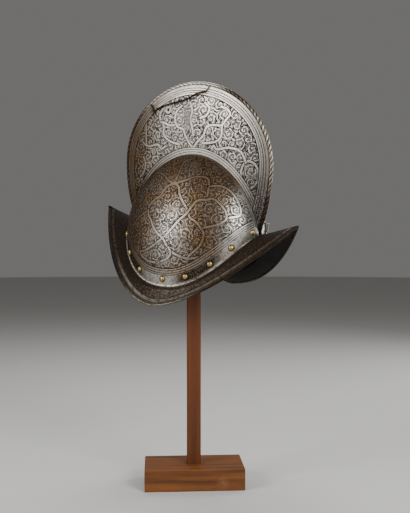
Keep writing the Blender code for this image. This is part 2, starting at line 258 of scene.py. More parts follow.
def ring_solid(name: str, rings: Array, wrap: bool, fields: dict[str, Array],
               inside: Optional[Array] = None) -> Piece:
    """Make a closed solid from rings of points that follow each other.

    Args:
        name: Name of the piece.
        rings: Points, by ring, by place in the ring, by axis.
        wrap: Whether the last ring joins the first.
        fields: Values kept on the points, by ring and place.
        inside: For each place in the ring, whether the face after it takes the second material.

    Returns:
        The linked object, with its faces outwards.
    """
    count, size = rings.shape[:2]
    number = np.arange(count * size).reshape(count, size)
    following = np.roll(number, -1, axis=0) if wrap else number[1:]
    first = number if wrap else number[:-1]
    faces = np.stack([first, following, np.roll(following, -1, axis=1), np.roll(first, -1, axis=1)], -1)
    mesh = bpy.data.meshes.new(name)
    mesh.from_pydata(rings.reshape(-1, 3), [], faces.reshape(-1, 4).tolist())
    for label, values in fields.items():
        store(mesh, label, values)
    if inside is not None:
        slots = np.broadcast_to(inside.astype(np.int32), faces.shape[:2]).reshape(-1)
        mesh.polygons.foreach_set("material_index", np.ascontiguousarray(slots))
    build = bmesh.new()
    build.from_mesh(mesh)
    bmesh.ops.remove_doubles(build, verts=build.verts, dist=WELD)
    bmesh.ops.recalc_face_normals(build, faces=build.faces)
    build.to_mesh(mesh)
    build.free()
    mesh.shade_smooth()
    mesh.set_sharp_from_angle(angle=math.radians(SHARP_ANGLE))
    return link(name, mesh)


def grow(tree: Tree, source: Piece, sizes: dict[str, Any], name: str) -> Piece:
    """Run a Geometry Nodes tree on an object and keep its result as a plain mesh.

    Args:
        tree: The tree.
        source: Object that the tree works on; it is removed afterwards.
        sizes: Values for the tree's named inputs.
        name: Name of the piece.

    Returns:
        The linked piece.
    """
    step = source.modifiers.new(tree.name, "NODES")
    step.node_group = tree
    for item in tree.interface.items_tree:
        if item.item_type == "SOCKET" and item.in_out == "INPUT" and item.name in sizes:
            step[item.identifier] = sizes[item.name]
    bpy.context.view_layer.update()
    ready = source.evaluated_get(bpy.context.evaluated_depsgraph_get())
    mesh = bpy.data.meshes.new_from_object(ready)
    mesh.name = name
    source.modifiers.remove(step)
    bpy.data.objects.remove(source, do_unlink=True)
    return link(name, mesh)


def settle(piece: Piece, slot: Slot, *nodes: str) -> Piece:
    """Let a finished piece ride on the body and hide what it stands for.

    Args:
        piece: The piece.
        slot: The record's material slot; not used.
        nodes: CAD nodes that it replaces.

    Returns:
        The piece.
    """
    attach(piece, BODY)
    if nodes:
        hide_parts(*nodes)
    log.info("%s: %d faces", piece.name, len(piece.data.polygons))
    return piece


# Shape of the plate


@dataclass(frozen=True)
class HelmetShape:
    """Surfaces of the plate: +X is the front point, +Y the wearer's left, +Z up from the side root line.

    Lengths are in metres and angles in degrees. A turn is in radians, from 0 at the front point along the left
    side to pi at the back point. An inset moves a line inside the plate's outer face.
    """

    plate: float = 0.0013
    inset_drop: float = 0.9
    root_half_length: float = 0.1130
    root_half_width: float = 0.0880
    root_end_rise: float = 0.0750
    root_rise_power: float = 2.3
    bowl_height: float = 0.1860
    ridge_power: float = 1.27
    side_power: float = 1.15
    rise_power: float = 1.10
    brim_half_length: float = 0.1750
    brim_half_width: float = 0.1100
    brim_side_drop: float = 0.0277
    brim_point_rise: float = 0.0934
    brim_rise_power: float = 1.74
    brim_hollow: float = 0.0015
    brim_bead: float = 0.0018
    brim_bead_end: float = 157.0
    comb_half_length: float = 0.1334
    comb_top: float = 0.2929
    comb_widest: float = 0.1705
    comb_forward: float = 0.0041
    comb_foot_depth: float = 0.1890
    comb_foot_pull: int = 16
    comb_base_half: float = 0.0100
    comb_base_power: float = 0.3
    comb_base_inner_power: float = 0.5
    comb_bead: float = 0.0030
    comb_bead_power: float = 0.15
    comb_bead_end: float = 140.0
    comb_edge_wall: float = 0.0075
    comb_pillow: float = 2.2
    balance_rise: float = 0.1350
    balance_place: tuple[float, float, float] = (-0.0027, 0.0042, 0.4466)
    front_up: float = 6.4
    left_down: float = 6.25

    def seat(self) -> Matrix:
        """Place of the helmet on its stand, as a matrix."""
        tilt = (Matrix.Rotation(math.radians(-90.0), 4, "Z") @ Matrix.Rotation(math.radians(-self.front_up), 4, "Y")
                @ Matrix.Rotation(math.radians(-self.left_down), 4, "X"))
        return Matrix.Translation(self.balance_place) @ tilt @ Matrix.Translation((0.0, 0.0, -self.balance_rise))

    def stand(self, points: Array) -> Array:
        """Move points from the helmet's frame to the stand's."""
        seat = np.array(self.seat())
        return points @ seat[:3, :3].T + seat[:3, 3]

    @staticmethod
    def parts(turn: Array) -> tuple[Array, Array]:
        """Cosine and sine of a turn, with the sine held at zero or more."""
        s = np.sin(turn)
        return np.cos(turn), np.where(s < 1e-9, 0.0, s)

    def root(self, turn: Array, inset: float = 0.0) -> Array:
        """Root line, where the bowl meets the brim.

        Args:
            turn: Turn of each point.
            inset: How far the line lies inside the outer face.

        Returns:
            The points.
        """
        c, s = self.parts(turn)
        rise = self.root_end_rise * np.abs(c) ** self.root_rise_power - self.inset_drop * inset
        return np.stack([(self.root_half_length - inset) * c, (self.root_half_width - inset) * s, rise], -1)

    def edge(self, turn: Array) -> Array:
        """Outermost line of the brim.

        Args:
            turn: Turn of each point.

        Returns:
            The points.
        """
        c, s = self.parts(turn)
        climb = self.brim_side_drop + self.brim_point_rise
        rise = climb * np.abs(c) ** self.brim_rise_power - self.brim_side_drop
        return np.stack([self.brim_half_length * c, self.brim_half_width * s * s, rise], -1)

    def ridge(self, turn: Array, inset: float = 0.0) -> Array:
        """Line where the bowl turns up into the comb.

        Args:
            turn: Turn of each point.
            inset: How far the line lies inside the outer face.

        Returns:
            The points.
        """
        c, s = self.parts(turn)
        low = self.root_end_rise - self.inset_drop * inset
        rise = low + (self.bowl_height - inset - low) * s ** self.ridge_power
        half = (self.comb_base_half - inset) * s ** (self.comb_base_inner_power if inset else self.comb_base_power)
        return np.stack([(self.root_half_length - inset) * c, half,
                         np.maximum(rise, self.root(turn, inset)[..., 2])], -1)

    def bowl(self, turn: Array, climb: Array, inset: float = 0.0) -> Array:
        """Left side of the bowl.

        Args:
            turn: Turn of each point.
            climb: Its climb, from 0 at the root to 1 at the ridge.
            inset: How far the face lies inside the outer face.

        Returns:
            The points.
        """
        low, high = self.root(turn, inset), self.ridge(turn, inset)
        angle = climb * math.pi / 2.0
        fall = np.clip(np.cos(angle), 0.0, None)
        across = low[..., 1] * fall ** self.side_power + high[..., 1] * np.sin(angle)
        rise = low[..., 2] + (high - low)[..., 2] * np.sin(angle) ** self.rise_power
        return np.stack([low[..., 0] + 0.0 * climb, across, rise], -1)

    def outline(self, turn: Array, inset: float = 0.0, root_inset: float = 0.0) -> Array:
        """Edge of the comb in the middle plane.

        Args:
            turn: Turn of each point.
            inset: How far the line lies inside the comb's edge.
            root_inset: How far its two ends lie inside the root line.

        Returns:
            The points.
        """
        c = np.cos(turn)
        end_x = self.root_half_length - root_inset
        end_z = self.root_end_rise - self.inset_drop * root_inset
        foot = math.asin((self.comb_widest - end_z) / self.comb_foot_depth)
        angle = math.pi / 2.0 - (math.pi / 2.0 + foot) * c
        reach = self.comb_half_length - inset
        up = self.comb_top - self.comb_widest - inset
        rise = self.comb_widest + np.where(np.sin(angle) > 0.0, up, self.comb_foot_depth) * np.sin(angle)
        sign = np.where(c >= 0.0, 1.0, -1.0)
        pull = sign * end_x - (self.comb_forward + sign * reach * math.cos(foot))
        along = self.comb_forward + reach * np.cos(angle) + pull * np.abs(c) ** self.comb_foot_pull
        return np.stack([along, 0.0 * along, rise], -1)

    def bead(self, turn: Array, angle: float) -> Array:
        """Turned edge of the comb.

        Args:
            turn: Turn of each point.
            angle: Angle round the bead from its outermost line, in radians.

        Returns:
            The points.
        """
        step = 0.01
        run = self.outline(np.minimum(turn + step, math.pi)) - self.outline(np.maximum(turn - step, 0.0))
        out = unit(np.stack([run[..., 2], 0.0 * turn, -run[..., 0]], -1))
        radius = (self.comb_bead * self.parts(turn)[1] ** self.comb_bead_power)[..., None]
        side = np.array([0.0, 1.0, 0.0])
        return self.outline(turn) - out * radius * (1.0 - math.cos(angle)) + side * radius * math.sin(angle)

    def comb(self, turn: Array, climb: Array, inside: bool = False) -> Array:
        """Left side of the comb.

        Args:
            turn: Turn of each point.
            climb: Its climb, from 0 at the bowl to 1 at the edge.
            inside: Whether it is on the inner face.

        Returns:
            The points.
        """
        low = self.ridge(turn, self.plate if inside else 0.0)
        high = (self.outline(turn, self.comb_edge_wall, self.plate) if inside
                else self.bead(turn, math.radians(self.comb_bead_end)))
        place = low + (high - low) * climb[..., None]
        place[..., 1] = high[..., 1] + (low[..., 1] - high[..., 1]) * (1.0 - climb ** self.comb_pillow)
        return place

    def brim_axes(self, turn: Array) -> tuple[Array, Array]:
        """Directions at the edge of the brim.

        Args:
            turn: Turn of each point.

        Returns:
            The outward direction in the brim's face, and the upper one across it.
        """
        step = 0.004
        run = self.edge(np.minimum(turn + step, math.pi)) - self.edge(np.maximum(turn - step, 0.0))
        run = np.where((turn < step)[..., None], np.array([0.0, 1.0, 0.0]), run)
        run = unit(np.where((turn > math.pi - step)[..., None], np.array([0.0, -1.0, 0.0]), run))
        span = self.edge(turn) - self.root(turn)
        out = unit(span - run * (span * run).sum(-1, keepdims=True))
        up = unit(np.cross(out, run))
        return out, np.where(up[..., 2:] < 0.0, -up, up)

    def brim_edge(self, turn: Array, angle: float) -> Array:
        """Turned edge of the brim.

        Args:
            turn: Turn of each point.
            angle: Angle round the bead above its outermost line, in radians.

        Returns:
            The points.
        """
        out, up = self.brim_axes(turn)
        return self.edge(turn) + self.brim_bead * (out * (math.cos(angle) - 1.0) + up * math.sin(angle))

    def brim(self, turn: Array, reach: Array, under: bool = False) -> Array:
        """Left side of the brim.

        Args:
            turn: Turn of each point.
            reach: Its reach, from 0 at the root to 1 at the edge.
            under: Whether it is on the lower face.

        Returns:
            The points.
        """
        start = self.root(turn, self.plate if under else 0.0)
        end = self.brim_edge(turn, math.radians(-self.brim_bead_end if under else self.brim_bead_end))
        sag = (self.brim_hollow * np.sin(turn) ** 2 * 4.0 * reach * (1.0 - reach))[..., None]
        return start + (end - start) * reach[..., None] - self.brim_axes(turn)[1] * sag


# Etched ornament


@dataclass(frozen=True)
class Strapwork:
    """Flat straps that pass over and under each other, in millimetres."""

    half_width: float = 1.75
    rim: float = 0.95
    # Scrolls keep this far from a strap's middle line
    clear: float = 3.6
    # Lines closer than this cross, and the next crossing of the same two is at least the second number away
    touch: float = 1.2
    apart: float = 10.0
    # Length of the upper strap on both sides of a crossing
    over_reach: float = 8.0

    def spread(self, points: Array, lines: Sequence[Array]) -> Array:
        """Distance to the strap that lies on top, in millimetres.

        Args:
            points: Places on the plate, one a row, in millimetres.
            lines: Middle lines of the straps.

        Returns:
            Distance for each place.
        """
        gaps = np.stack([nearest(points, line) for line in lines])
        shown = gaps.min(axis=0)
        for count, (one, other, place) in enumerate(self.crossings(lines)):
            over = gaps[one if count % 2 else other]
            near = np.linalg.norm(points - place, axis=1) < self.over_reach
            on_top = near & (over < self.half_width + self.rim)
            shown[on_top] = over[on_top]
        return shown

    def crossings(self, lines: Sequence[Array]) -> list[tuple[int, int, Array]]:
        """Find where straps cross.

        Args:
            lines: Middle lines of the straps.

        Returns:
            For each crossing, the numbers of both straps and the place.
        """
        found = []
        for one in range(len(lines)):
            for other in range(one + 1, len(lines)):
                gaps = np.linalg.norm(lines[one][:, None] - lines[other][None], axis=2)
                while gaps.min() < self.touch:
                    place = lines[one][np.unravel_index(gaps.argmin(), gaps.shape)[0]]
                    found.append((one, other, place))
                    gaps[np.linalg.norm(lines[one] - place, axis=1) < self.apart] = math.inf
        return found


@dataclass(frozen=True)
class ScrollGarden:
    """Leaf scrolls that fill the plate between the straps, each one a small spiral of leaves."""

    seed: int
    spacing: float = 14.5
    spacing_range: tuple[float, float] = (0.86, 1.1)
    tries: int = 9000

    def plant(self, grid: Array, free: Array) -> Array:
        """Give each place its position within the nearest scroll.

        Args:
            grid: Places on the plate, by column and row, in millimetres.
            free: Where a scroll may have its middle.

        Returns:
            For each place, two distances from the scroll's middle along the plate, and one to its rim.
        """
        random = np.random.default_rng(self.seed)
        along = unit(np.gradient(grid, axis=0)).reshape(-1, 3)
        out = unit(np.cross(along, unit(np.gradient(grid, axis=1)).reshape(-1, 3)))
        across = np.cross(out, along)
        flat = grid.reshape(-1, 3)
        order = random.permutation(np.flatnonzero(free.reshape(-1)))[:self.tries]
        chosen: list[int] = []
        for index in order:
            need = self.spacing * random.uniform(*self.spacing_range)
            if not chosen or np.min(np.linalg.norm(flat[chosen] - flat[index], axis=1)) > need:
                chosen.append(index)
        middles = flat[chosen]
        gaps = np.linalg.norm(flat[:, None] - middles[None], axis=2)
        # The rim between two scrolls lies where both middles are equally far
        every, first = np.arange(len(flat)), gaps.argmin(1)
        own = gaps[every, first]
        gaps[every, first] = math.inf
        rim = 0.5 * (gaps.min(1) - own)
        turns = random.uniform(0.0, 2.0 * math.pi, len(chosen))[first]
        hands = np.where(random.random(len(chosen)) < 0.5, -1.0, 1.0)[first]
        offset = flat - middles[first]
        x = (offset * along[chosen][first]).sum(1) * hands
        y = (offset * across[chosen][first]).sum(1)
        return np.stack([x * np.cos(turns) - y * np.sin(turns), x * np.sin(turns) + y * np.cos(turns),
                         rim], -1).reshape(grid.shape)


# Finishes. In a Mix node, socket 0 is its factor, 2 and 3 are its numbers and 6 and 7 its colours


@dataclass(frozen=True)
class BandTable:
    """Plain bands and dark lines beside a border: distance in mm, brightness, and how much of it covers."""

    stops: tuple[tuple[float, float, float], ...]
    span: float = 40.0

    def lay(self, ramp: bpy.types.ColorRamp) -> None:
        """Fill a colour ramp, whose colour is the brightness and whose alpha is the cover.

        Args:
            ramp: The ramp, which has two stops so far.
        """
        while len(ramp.elements) < len(self.stops):
            ramp.elements.new(1.0)
        for stop, (place, light, cover) in zip(ramp.elements, self.stops):
            stop.position = place / self.span
            stop.color = (light, light, light, cover)


STRAP_BANDS = BandTable(((0.0, 0.92, 1.0), (1.45, 1.0, 1.0), (1.75, 0.0, 1.0), (2.5, 0.0, 1.0), (2.8, 0.0, 0.0)), 8.0)
COMB_EDGE_BANDS = BandTable((
    (0.0, 0.8, 1.0), (4.6, 0.9, 1.0), (4.9, 0.3, 1.0), (5.4, 0.3, 1.0), (5.7, 0.85, 1.0), (9.0, 0.9, 1.0),
    (9.3, 0.1, 1.0), (10.1, 0.1, 1.0), (10.4, 1.0, 1.0), (12.2, 1.0, 1.0), (12.5, 0.1, 1.0), (13.3, 0.1, 1.0),
    (13.6, 0.9, 1.0), (15.4, 0.9, 1.0), (15.7, 0.3, 1.0), (16.4, 0.3, 1.0), (16.7, 1.0, 1.0), (18.5, 1.0, 1.0),
    (18.8, 0.0, 1.0), (19.9, 0.0, 1.0), (20.3, 0.0, 0.0)))
COMB_BASE_BANDS = BandTable((
    (0.0, 0.85, 1.0), (3.0, 1.0, 1.0), (3.3, 0.05, 1.0), (4.1, 0.05, 1.0), (4.4, 1.0, 1.0), (6.6, 1.0, 1.0),
    (6.9, 0.05, 1.0), (7.7, 0.05, 1.0), (8.0, 1.0, 1.0), (9.8, 1.0, 1.0), (10.1, 0.0, 1.0), (11.0, 0.0, 1.0),
    (11.4, 0.0, 0.0)))
BOWL_BASE_BANDS = BandTable((
    (0.0, 1.0, 1.0), (1.6, 1.0, 1.0), (2.2, 0.9, 1.0), (13.9, 0.95, 1.0), (14.2, 0.05, 1.0), (14.9, 0.05, 1.0),
    (15.2, 0.9, 1.0), (16.9, 0.9, 1.0), (17.2, 0.05, 1.0), (18.0, 0.05, 1.0), (18.3, 1.0, 1.0), (20.0, 1.0, 1.0),
    (20.3, 0.05, 1.0), (21.2, 0.05, 1.0), (21.5, 0.95, 1.0), (23.2, 0.95, 1.0), (23.6, 0.0, 1.0), (24.7, 0.0, 1.0),
    (25.1, 0.0, 0.0)))
BOWL_RIDGE_BANDS = BandTable((
    (0.0, 0.9, 1.0), (3.6, 1.0, 1.0), (3.9, 0.3, 1.0), (4.6, 0.3, 1.0), (4.9, 1.0, 1.0), (6.8, 1.0, 1.0),
    (7.1, 0.1, 1.0), (7.7, 0.1, 1.0), (8.0, 0.0, 0.0)))
BRIM_EDGE_BANDS = BandTable((
    (0.0, 0.05, 1.0), (2.4, 0.1, 1.0), (2.9, 0.5, 1.0), (5.9, 0.5, 1.0), (6.2, 0.1, 1.0), (6.9, 0.1, 1.0),
    (7.2, 0.75, 1.0), (9.0, 1.0, 1.0), (11.4, 0.75, 1.0), (11.8, 0.05, 1.0), (12.7, 0.05, 1.0), (13.2, 0.0, 0.0)))
BRIM_ROOT_BANDS = BandTable((
    (0.0, 1.0, 1.0), (1.6, 1.0, 1.0), (2.2, 0.45, 1.0), (4.4, 0.5, 1.0), (4.8, 0.1, 1.0), (5.5, 0.1, 1.0),
    (5.9, 0.0, 0.0)))


@dataclass(frozen=True)
class EtchedSteel:
    """Mild steel plate, hammered, brought to a polish and etched with acid, with an old brown patina.

    What the acid left is bright and satin; the ground it bit is dark, matt and dotted. Age has browned it.
    """

    name: str
    edge_bands: BandTable
    base_bands: BandTable
    bright: str = "#CBC7BF"
    ground: str = "#1D1916"
    patina: str = "#AE9070"
    patina_floor: str = "#130E0A"
    # Near black, for old soiling and for painted shade in corners, creases and on parts turned from the light
    grime_and_shade: str = "#130F0C"
    # Millimetres between the turns of a scroll, half its stem and the dark line beside it; and leaves a turn
    scroll_pitch: float = 5.2
    stem: float = 0.68
    outline: float = 0.95
    leaves: float = 4.0
    dot_light: float = 0.8
    ground_light: float = 0.36
    rubbed: float = 0.7
    rubbed_light: float = 0.82
    worn_light: float = 0.36
    pitting: float = 0.35
    contrast: float = 1.0
    streaks: float = 0.0
    relief_depth: float = 0.00011

    def build(self) -> Material:
        """Make the material.

        Returns:
            The material, which reads the plate's own attributes.
        """
        made, tree, shader = start_material(self.name)
        place = add_node(tree, "ShaderNodeTexCoord").outputs["Object"]
        relief = self.relief(tree, place)
        # Clouding of the polish, over 30 mm, and worn specks of about 1.5 mm
        cloud = add_node(tree, "ShaderNodeTexNoise", named={"Vector": place, "Scale": 34.0, "Detail": 4.0,
                                                            "Roughness": 0.6})
        specks = add_node(tree, "ShaderNodeTexNoise", named={"Vector": place, "Scale": 620.0, "Detail": 2.0})
        # Brown patina where the attribute says so, broken up by the clouding; where the attribute leaves the bowl and
        # brim bare, part of that bright steel is painted highlight
        browned = add_node(tree, "ShaderNodeAttribute", attribute_name="patina").outputs["Fac"]
        uneven = add_node(tree, "ShaderNodeMapRange", cloud, 0.32, 0.68, 0.7, 1.2)
        brown = add_node(tree, "ShaderNodeMath", browned, uneven, operation="MULTIPLY", use_clamp=True)
        # Darkening from its attribute: old soiling, and painted shade in corners, creases, round the rivets, along
        # the cracked lap and on parts turned from the light
        darkening = add_node(tree, "ShaderNodeAttribute", attribute_name="grime_and_shade").outputs["Fac"]
        ragged = add_node(tree, "ShaderNodeMapRange", specks, 0.32, 0.62, 0.45, 1.6)
        ragged_darkening = add_node(tree, "ShaderNodeMath", darkening, ragged, operation="MULTIPLY", use_clamp=True)
        steel = self.colour(tree, place, relief, self.polish(tree, cloud, specks))
        tree.links.new(self.age(tree, steel, brown, ragged_darkening), shader.inputs["Base Color"])
        # Bitten ground is matt and oxidised, so less metallic
        worn = add_node(tree, "ShaderNodeMath", brown, 0.16, operation="MULTIPLY")
        rough = add_node(tree, "ShaderNodeMapRange", relief, 0.0, 1.0, 0.6, 0.36)
        aged_rough = add_node(tree, "ShaderNodeMath", rough, worn, operation="ADD")
        dirty_rough = add_node(tree, "ShaderNodeMath", ragged_darkening, 0.22, aged_rough, operation="MULTIPLY_ADD")
        tree.links.new(dirty_rough.outputs[0], shader.inputs["Roughness"])
        shader.inputs["Specular IOR Level"].default_value = 0.15
        metal = add_node(tree, "ShaderNodeMapRange", relief, 0.0, 1.0, 0.72, 1.0)
        dull = add_node(tree, "ShaderNodeMath", ragged_darkening, -0.7, metal, operation="MULTIPLY_ADD")
        tree.links.new(dull.outputs[0], shader.inputs["Metallic"])
        # Hammer marks of 15 to 25 mm, then the etched relief and a fine grain
        hammer = add_node(tree, "ShaderNodeTexNoise", named={"Vector": place, "Scale": 55.0, "Detail": 1.0})
        waves = add_node(tree, "ShaderNodeBump", named={"Height": hammer.outputs[0], "Strength": 0.5,
                                                        "Distance": 0.0006})
        grit = add_node(tree, "ShaderNodeMath", specks, 0.35, relief, operation="MULTIPLY_ADD")
        cut = add_node(tree, "ShaderNodeBump", named={"Height": grit.outputs[0], "Strength": 0.85,
                                                      "Distance": self.relief_depth, "Normal": waves.outputs[0]})
        tree.links.new(cut.outputs[0], shader.inputs["Normal"])
        return made

    def polish(self, tree: Tree, cloud: Node, specks: Node) -> Node:
        """Build the nodes of the uneven polish.

        Args:
            tree: The material's tree.
            cloud: Broad clouding.
            specks: Fine specks.

        Returns:
            Node that gives the polish's brightness, about 1.
        """
        tone = add_node(tree, "ShaderNodeMapRange", cloud, 0.3, 0.7, 0.74, 1.08)
        grain = add_node(tree, "ShaderNodeMapRange", specks, 0.3, 0.72, 0.72, 1.1)
        # Fine polishing streaks that run along the border, a few tenths of a millimetre to 2 mm apart
        rim = add_node(tree, "ShaderNodeAttribute", attribute_name="edge_mm").outputs["Fac"]
        waver = add_node(tree, "ShaderNodeMath", cloud, 5.0, rim, operation="MULTIPLY_ADD")
        streak = add_node(tree, "ShaderNodeTexNoise", noise_dimensions="1D",
                          named={"W": waver, "Scale": 0.75, "Detail": 3.0, "Roughness": 0.7})
        along = add_node(tree, "ShaderNodeMapRange", streak, 0.36, 0.64, 0.58, 1.14)
        fades = add_node(tree, "ShaderNodeMapRange", rim, 16.0, 26.0, self.streaks, 0.0)
        lines = add_node(tree, "ShaderNodeMix", named={0: fades.outputs[0], 2: 1.0, 3: along.outputs[0]}).outputs[0]
        cloudy = add_node(tree, "ShaderNodeMath", tone, grain, operation="MULTIPLY")
        return add_node(tree, "ShaderNodeMath", cloudy, lines, operation="MULTIPLY")

    def colour(self, tree: Tree, place: Socket, relief: Socket, light: Node) -> Socket:
        """Build the nodes that colour the relief, its ground and the rust pits.

        Args:
            tree: The material's tree.
            place: Object coordinates.
            relief: Socket that is 1 on the relief and 0 on the ground.
            light: Node that gives the polish's brightness.

        Returns:
            Socket of the clean steel's colour.
        """
        bright = add_node(tree, "ShaderNodeMix", named={0: 1.0, 6: linear(self.bright), 7: light},
                          data_type="RGBA", blend_type="MULTIPLY").outputs[2]
        etched = add_node(tree, "ShaderNodeMix", named={0: relief, 6: linear(self.ground), 7: bright},
                          data_type="RGBA").outputs[2]
        # Old rust pits of 1 to 3 mm in loose clusters, cleaned out and dark
        pits = add_node(tree, "ShaderNodeTexNoise", named={"Vector": place, "Scale": 260.0, "Detail": 4.0,
                                                           "Roughness": 0.72})
        pitted = add_node(tree, "ShaderNodeMapRange", pits, 0.5, 0.62, 0.0, self.pitting)
        return add_node(tree, "ShaderNodeMix", named={0: pitted, 6: etched, 7: linear(self.ground)},
                        data_type="RGBA").outputs[2]

    def age(self, tree: Tree, steel: Socket, brown: Node, ragged_darkening: Node) -> Socket:
        """Build the nodes that lay patina, old soiling and painted shade over the steel.

        Args:
            tree: The material's tree.
            steel: Socket of the clean steel's colour.
            brown: Node that gives the share of patina.
            ragged_darkening: Node that gives the share of old soiling and painted shade.

        Returns:
            Socket of the finished colour.
        """
        tinted = add_node(tree, "ShaderNodeMix", named={0: 1.0, 6: steel, 7: linear(self.patina)},
                          data_type="RGBA", blend_type="MULTIPLY").outputs[2]
        lifted = add_node(tree, "ShaderNodeMix", named={0: 1.0, 6: tinted, 7: linear(self.patina_floor)},
                          data_type="RGBA", blend_type="ADD").outputs[2]
        aged = add_node(tree, "ShaderNodeMix", named={0: brown, 6: steel, 7: lifted}, data_type="RGBA").outputs[2]
        return add_node(tree, "ShaderNodeMix", named={0: ragged_darkening, 6: aged, 7: linear(self.grime_and_shade)},
                        data_type="RGBA").outputs[2]

    def leafage(self, tree: Tree, place: Socket) -> Node:
        """Build the nodes of the leaf scrolls on their dotted ground.

        Args:
            tree: The material's tree.
            place: Object coordinates.

        Returns:
            Node that gives 1 on the bright leaves and 0 on the bitten ground.
        """
        scroll = add_node(tree, "ShaderNodeAttribute", attribute_name="scroll").outputs["Vector"]
        # No two scrolls are alike: a slow wobble of about 1 mm over 6 mm
        wobble = add_node(tree, "ShaderNodeTexNoise", named={"Vector": place, "Scale": 170.0, "Detail": 2.0})
        centred = add_node(tree, "ShaderNodeVectorMath", wobble.outputs["Color"], (0.5, 0.5, 0.5),
                           operation="SUBTRACT")
        bent = add_node(tree, "ShaderNodeVectorMath", centred, (5.2, 5.2, 0.0), scroll, operation="MULTIPLY_ADD")
        axes = add_node(tree, "ShaderNodeSeparateXYZ", bent)
        flat = add_node(tree, "ShaderNodeCombineXYZ", axes.outputs[0], axes.outputs[1])
        radius = add_node(tree, "ShaderNodeVectorMath", flat, operation="LENGTH").outputs["Value"]
        arc = add_node(tree, "ShaderNodeMath", axes.outputs[1], axes.outputs[0], operation="ARCTAN2")
        angle = add_node(tree, "ShaderNodeMath", arc, 1.0 / (2.0 * math.pi), operation="MULTIPLY")
        # A spiral stem: its phase runs with the radius and against the angle
        phase = add_node(tree, "ShaderNodeMath", radius, 1.0 / self.scroll_pitch, operation="MULTIPLY")
        wound = add_node(tree, "ShaderNodeMath", phase, angle, operation="SUBTRACT")
        share = add_node(tree, "ShaderNodeMath", wound, operation="FRACT")
        middle = add_node(tree, "ShaderNodeMath", share, 2.0, -1.0, operation="MULTIPLY_ADD")
        off_stem = add_node(tree, "ShaderNodeMath", middle, operation="ABSOLUTE")
        gap = add_node(tree, "ShaderNodeMath", off_stem, 0.5 * self.scroll_pitch, operation="MULTIPLY")
        # Leaves swell the stem at intervals, slanted, and more so on the outer turns
        lean = add_node(tree, "ShaderNodeMath", radius, 0.21, operation="MULTIPLY")
        beat = add_node(tree, "ShaderNodeMath", angle, self.leaves, lean, operation="MULTIPLY_ADD")
        turn = add_node(tree, "ShaderNodeMath", beat, 2.0 * math.pi, operation="MULTIPLY")
        wave = add_node(tree, "ShaderNodeMath", turn, operation="SINE")
        swell = add_node(tree, "ShaderNodeMapRange", wave, -0.1, 0.95, 0.0, 1.0, interpolation_type="SMOOTHSTEP")
        outer = add_node(tree, "ShaderNodeMapRange", radius, 1.6, 5.5, 0.1, 0.7)
        leaf = add_node(tree, "ShaderNodeMath", swell, outer, operation="MULTIPLY")
        beside = add_node(tree, "ShaderNodeMath", gap, leaf, operation="SUBTRACT")
        stem = add_node(tree, "ShaderNodeMapRange", beside, self.stem - 0.1, self.stem + 0.1, 1.0, 0.0)
        bud = add_node(tree, "ShaderNodeMapRange", radius, 0.9, 1.2, 1.0, 0.0)
        plant = add_node(tree, "ShaderNodeMath", stem, bud, operation="MAXIMUM")
        # Ground away from the outlines: grey, with dots 1.2 mm apart
        dots = add_node(tree, "ShaderNodeTexVoronoi", named={"Vector": place, "Scale": 820.0, "Randomness": 0.55})
        dot = add_node(tree, "ShaderNodeMapRange", dots, 0.2, 0.5, self.dot_light, self.ground_light)
        away = add_node(tree, "ShaderNodeMapRange", beside, self.stem + self.outline - 0.1,
                        self.stem + self.outline + 0.15, 0.0, 1.0)
        ground = add_node(tree, "ShaderNodeMath", away, dot, operation="MULTIPLY")
        leafage = add_node(tree, "ShaderNodeMath", plant, ground, operation="MAXIMUM")
        rim = add_node(tree, "ShaderNodeMapRange", axes.outputs[2], 0.08, 0.4, 0.15, 1.0)
        bitten = add_node(tree, "ShaderNodeMath", leafage, rim, operation="MULTIPLY")
        return add_node(tree, "ShaderNodeMapRange", bitten, 0.0, 1.0, 0.5 - 0.5 * self.contrast,
                        0.5 + 0.5 * self.contrast)

    def relief(self, tree: Tree, place: Socket) -> Socket:
        """Build the nodes of the whole etched pattern: straps and borders over the scrolls, and its wear.

        Args:
            tree: The material's tree.
            place: Object coordinates.

        Returns:
            Socket that is 1 on the bright relief and 0 on the bitten ground.
        """
        worn = self.leafage(tree, place).outputs[0]
        for label, table in (("strap_mm", STRAP_BANDS), ("base_mm", self.base_bands), ("edge_mm", self.edge_bands)):
            distance = add_node(tree, "ShaderNodeAttribute", attribute_name=label).outputs["Fac"]
            scaled = add_node(tree, "ShaderNodeMath", distance, 1.0 / table.span, operation="MULTIPLY")
            ramp = add_node(tree, "ShaderNodeValToRGB", scaled)
            table.lay(ramp.color_ramp)
            worn = add_node(tree, "ShaderNodeMix", named={0: ramp.outputs["Alpha"], 2: worn,
                                                          3: ramp.outputs["Color"]}).outputs[0]
        # Places of 10 to 20 mm where long cleaning has rubbed the etching away
        wear = add_node(tree, "ShaderNodeTexNoise", named={"Vector": place, "Scale": 62.0, "Detail": 3.0,
                                                           "Roughness": 0.62})
        gone = add_node(tree, "ShaderNodeMapRange", wear, 0.55, 0.72, 0.0, self.rubbed)
        bare = add_node(tree, "ShaderNodeMix", named={0: gone.outputs[0], 2: worn, 3: self.rubbed_light}).outputs[0]
        # The worn patch in the middle of the comb, where only the comb has the attribute
        patch = add_node(tree, "ShaderNodeAttribute", attribute_name="worn").outputs["Fac"]
        return add_node(tree, "ShaderNodeMix", named={0: patch, 2: bare, 3: self.worn_light}).outputs[0]


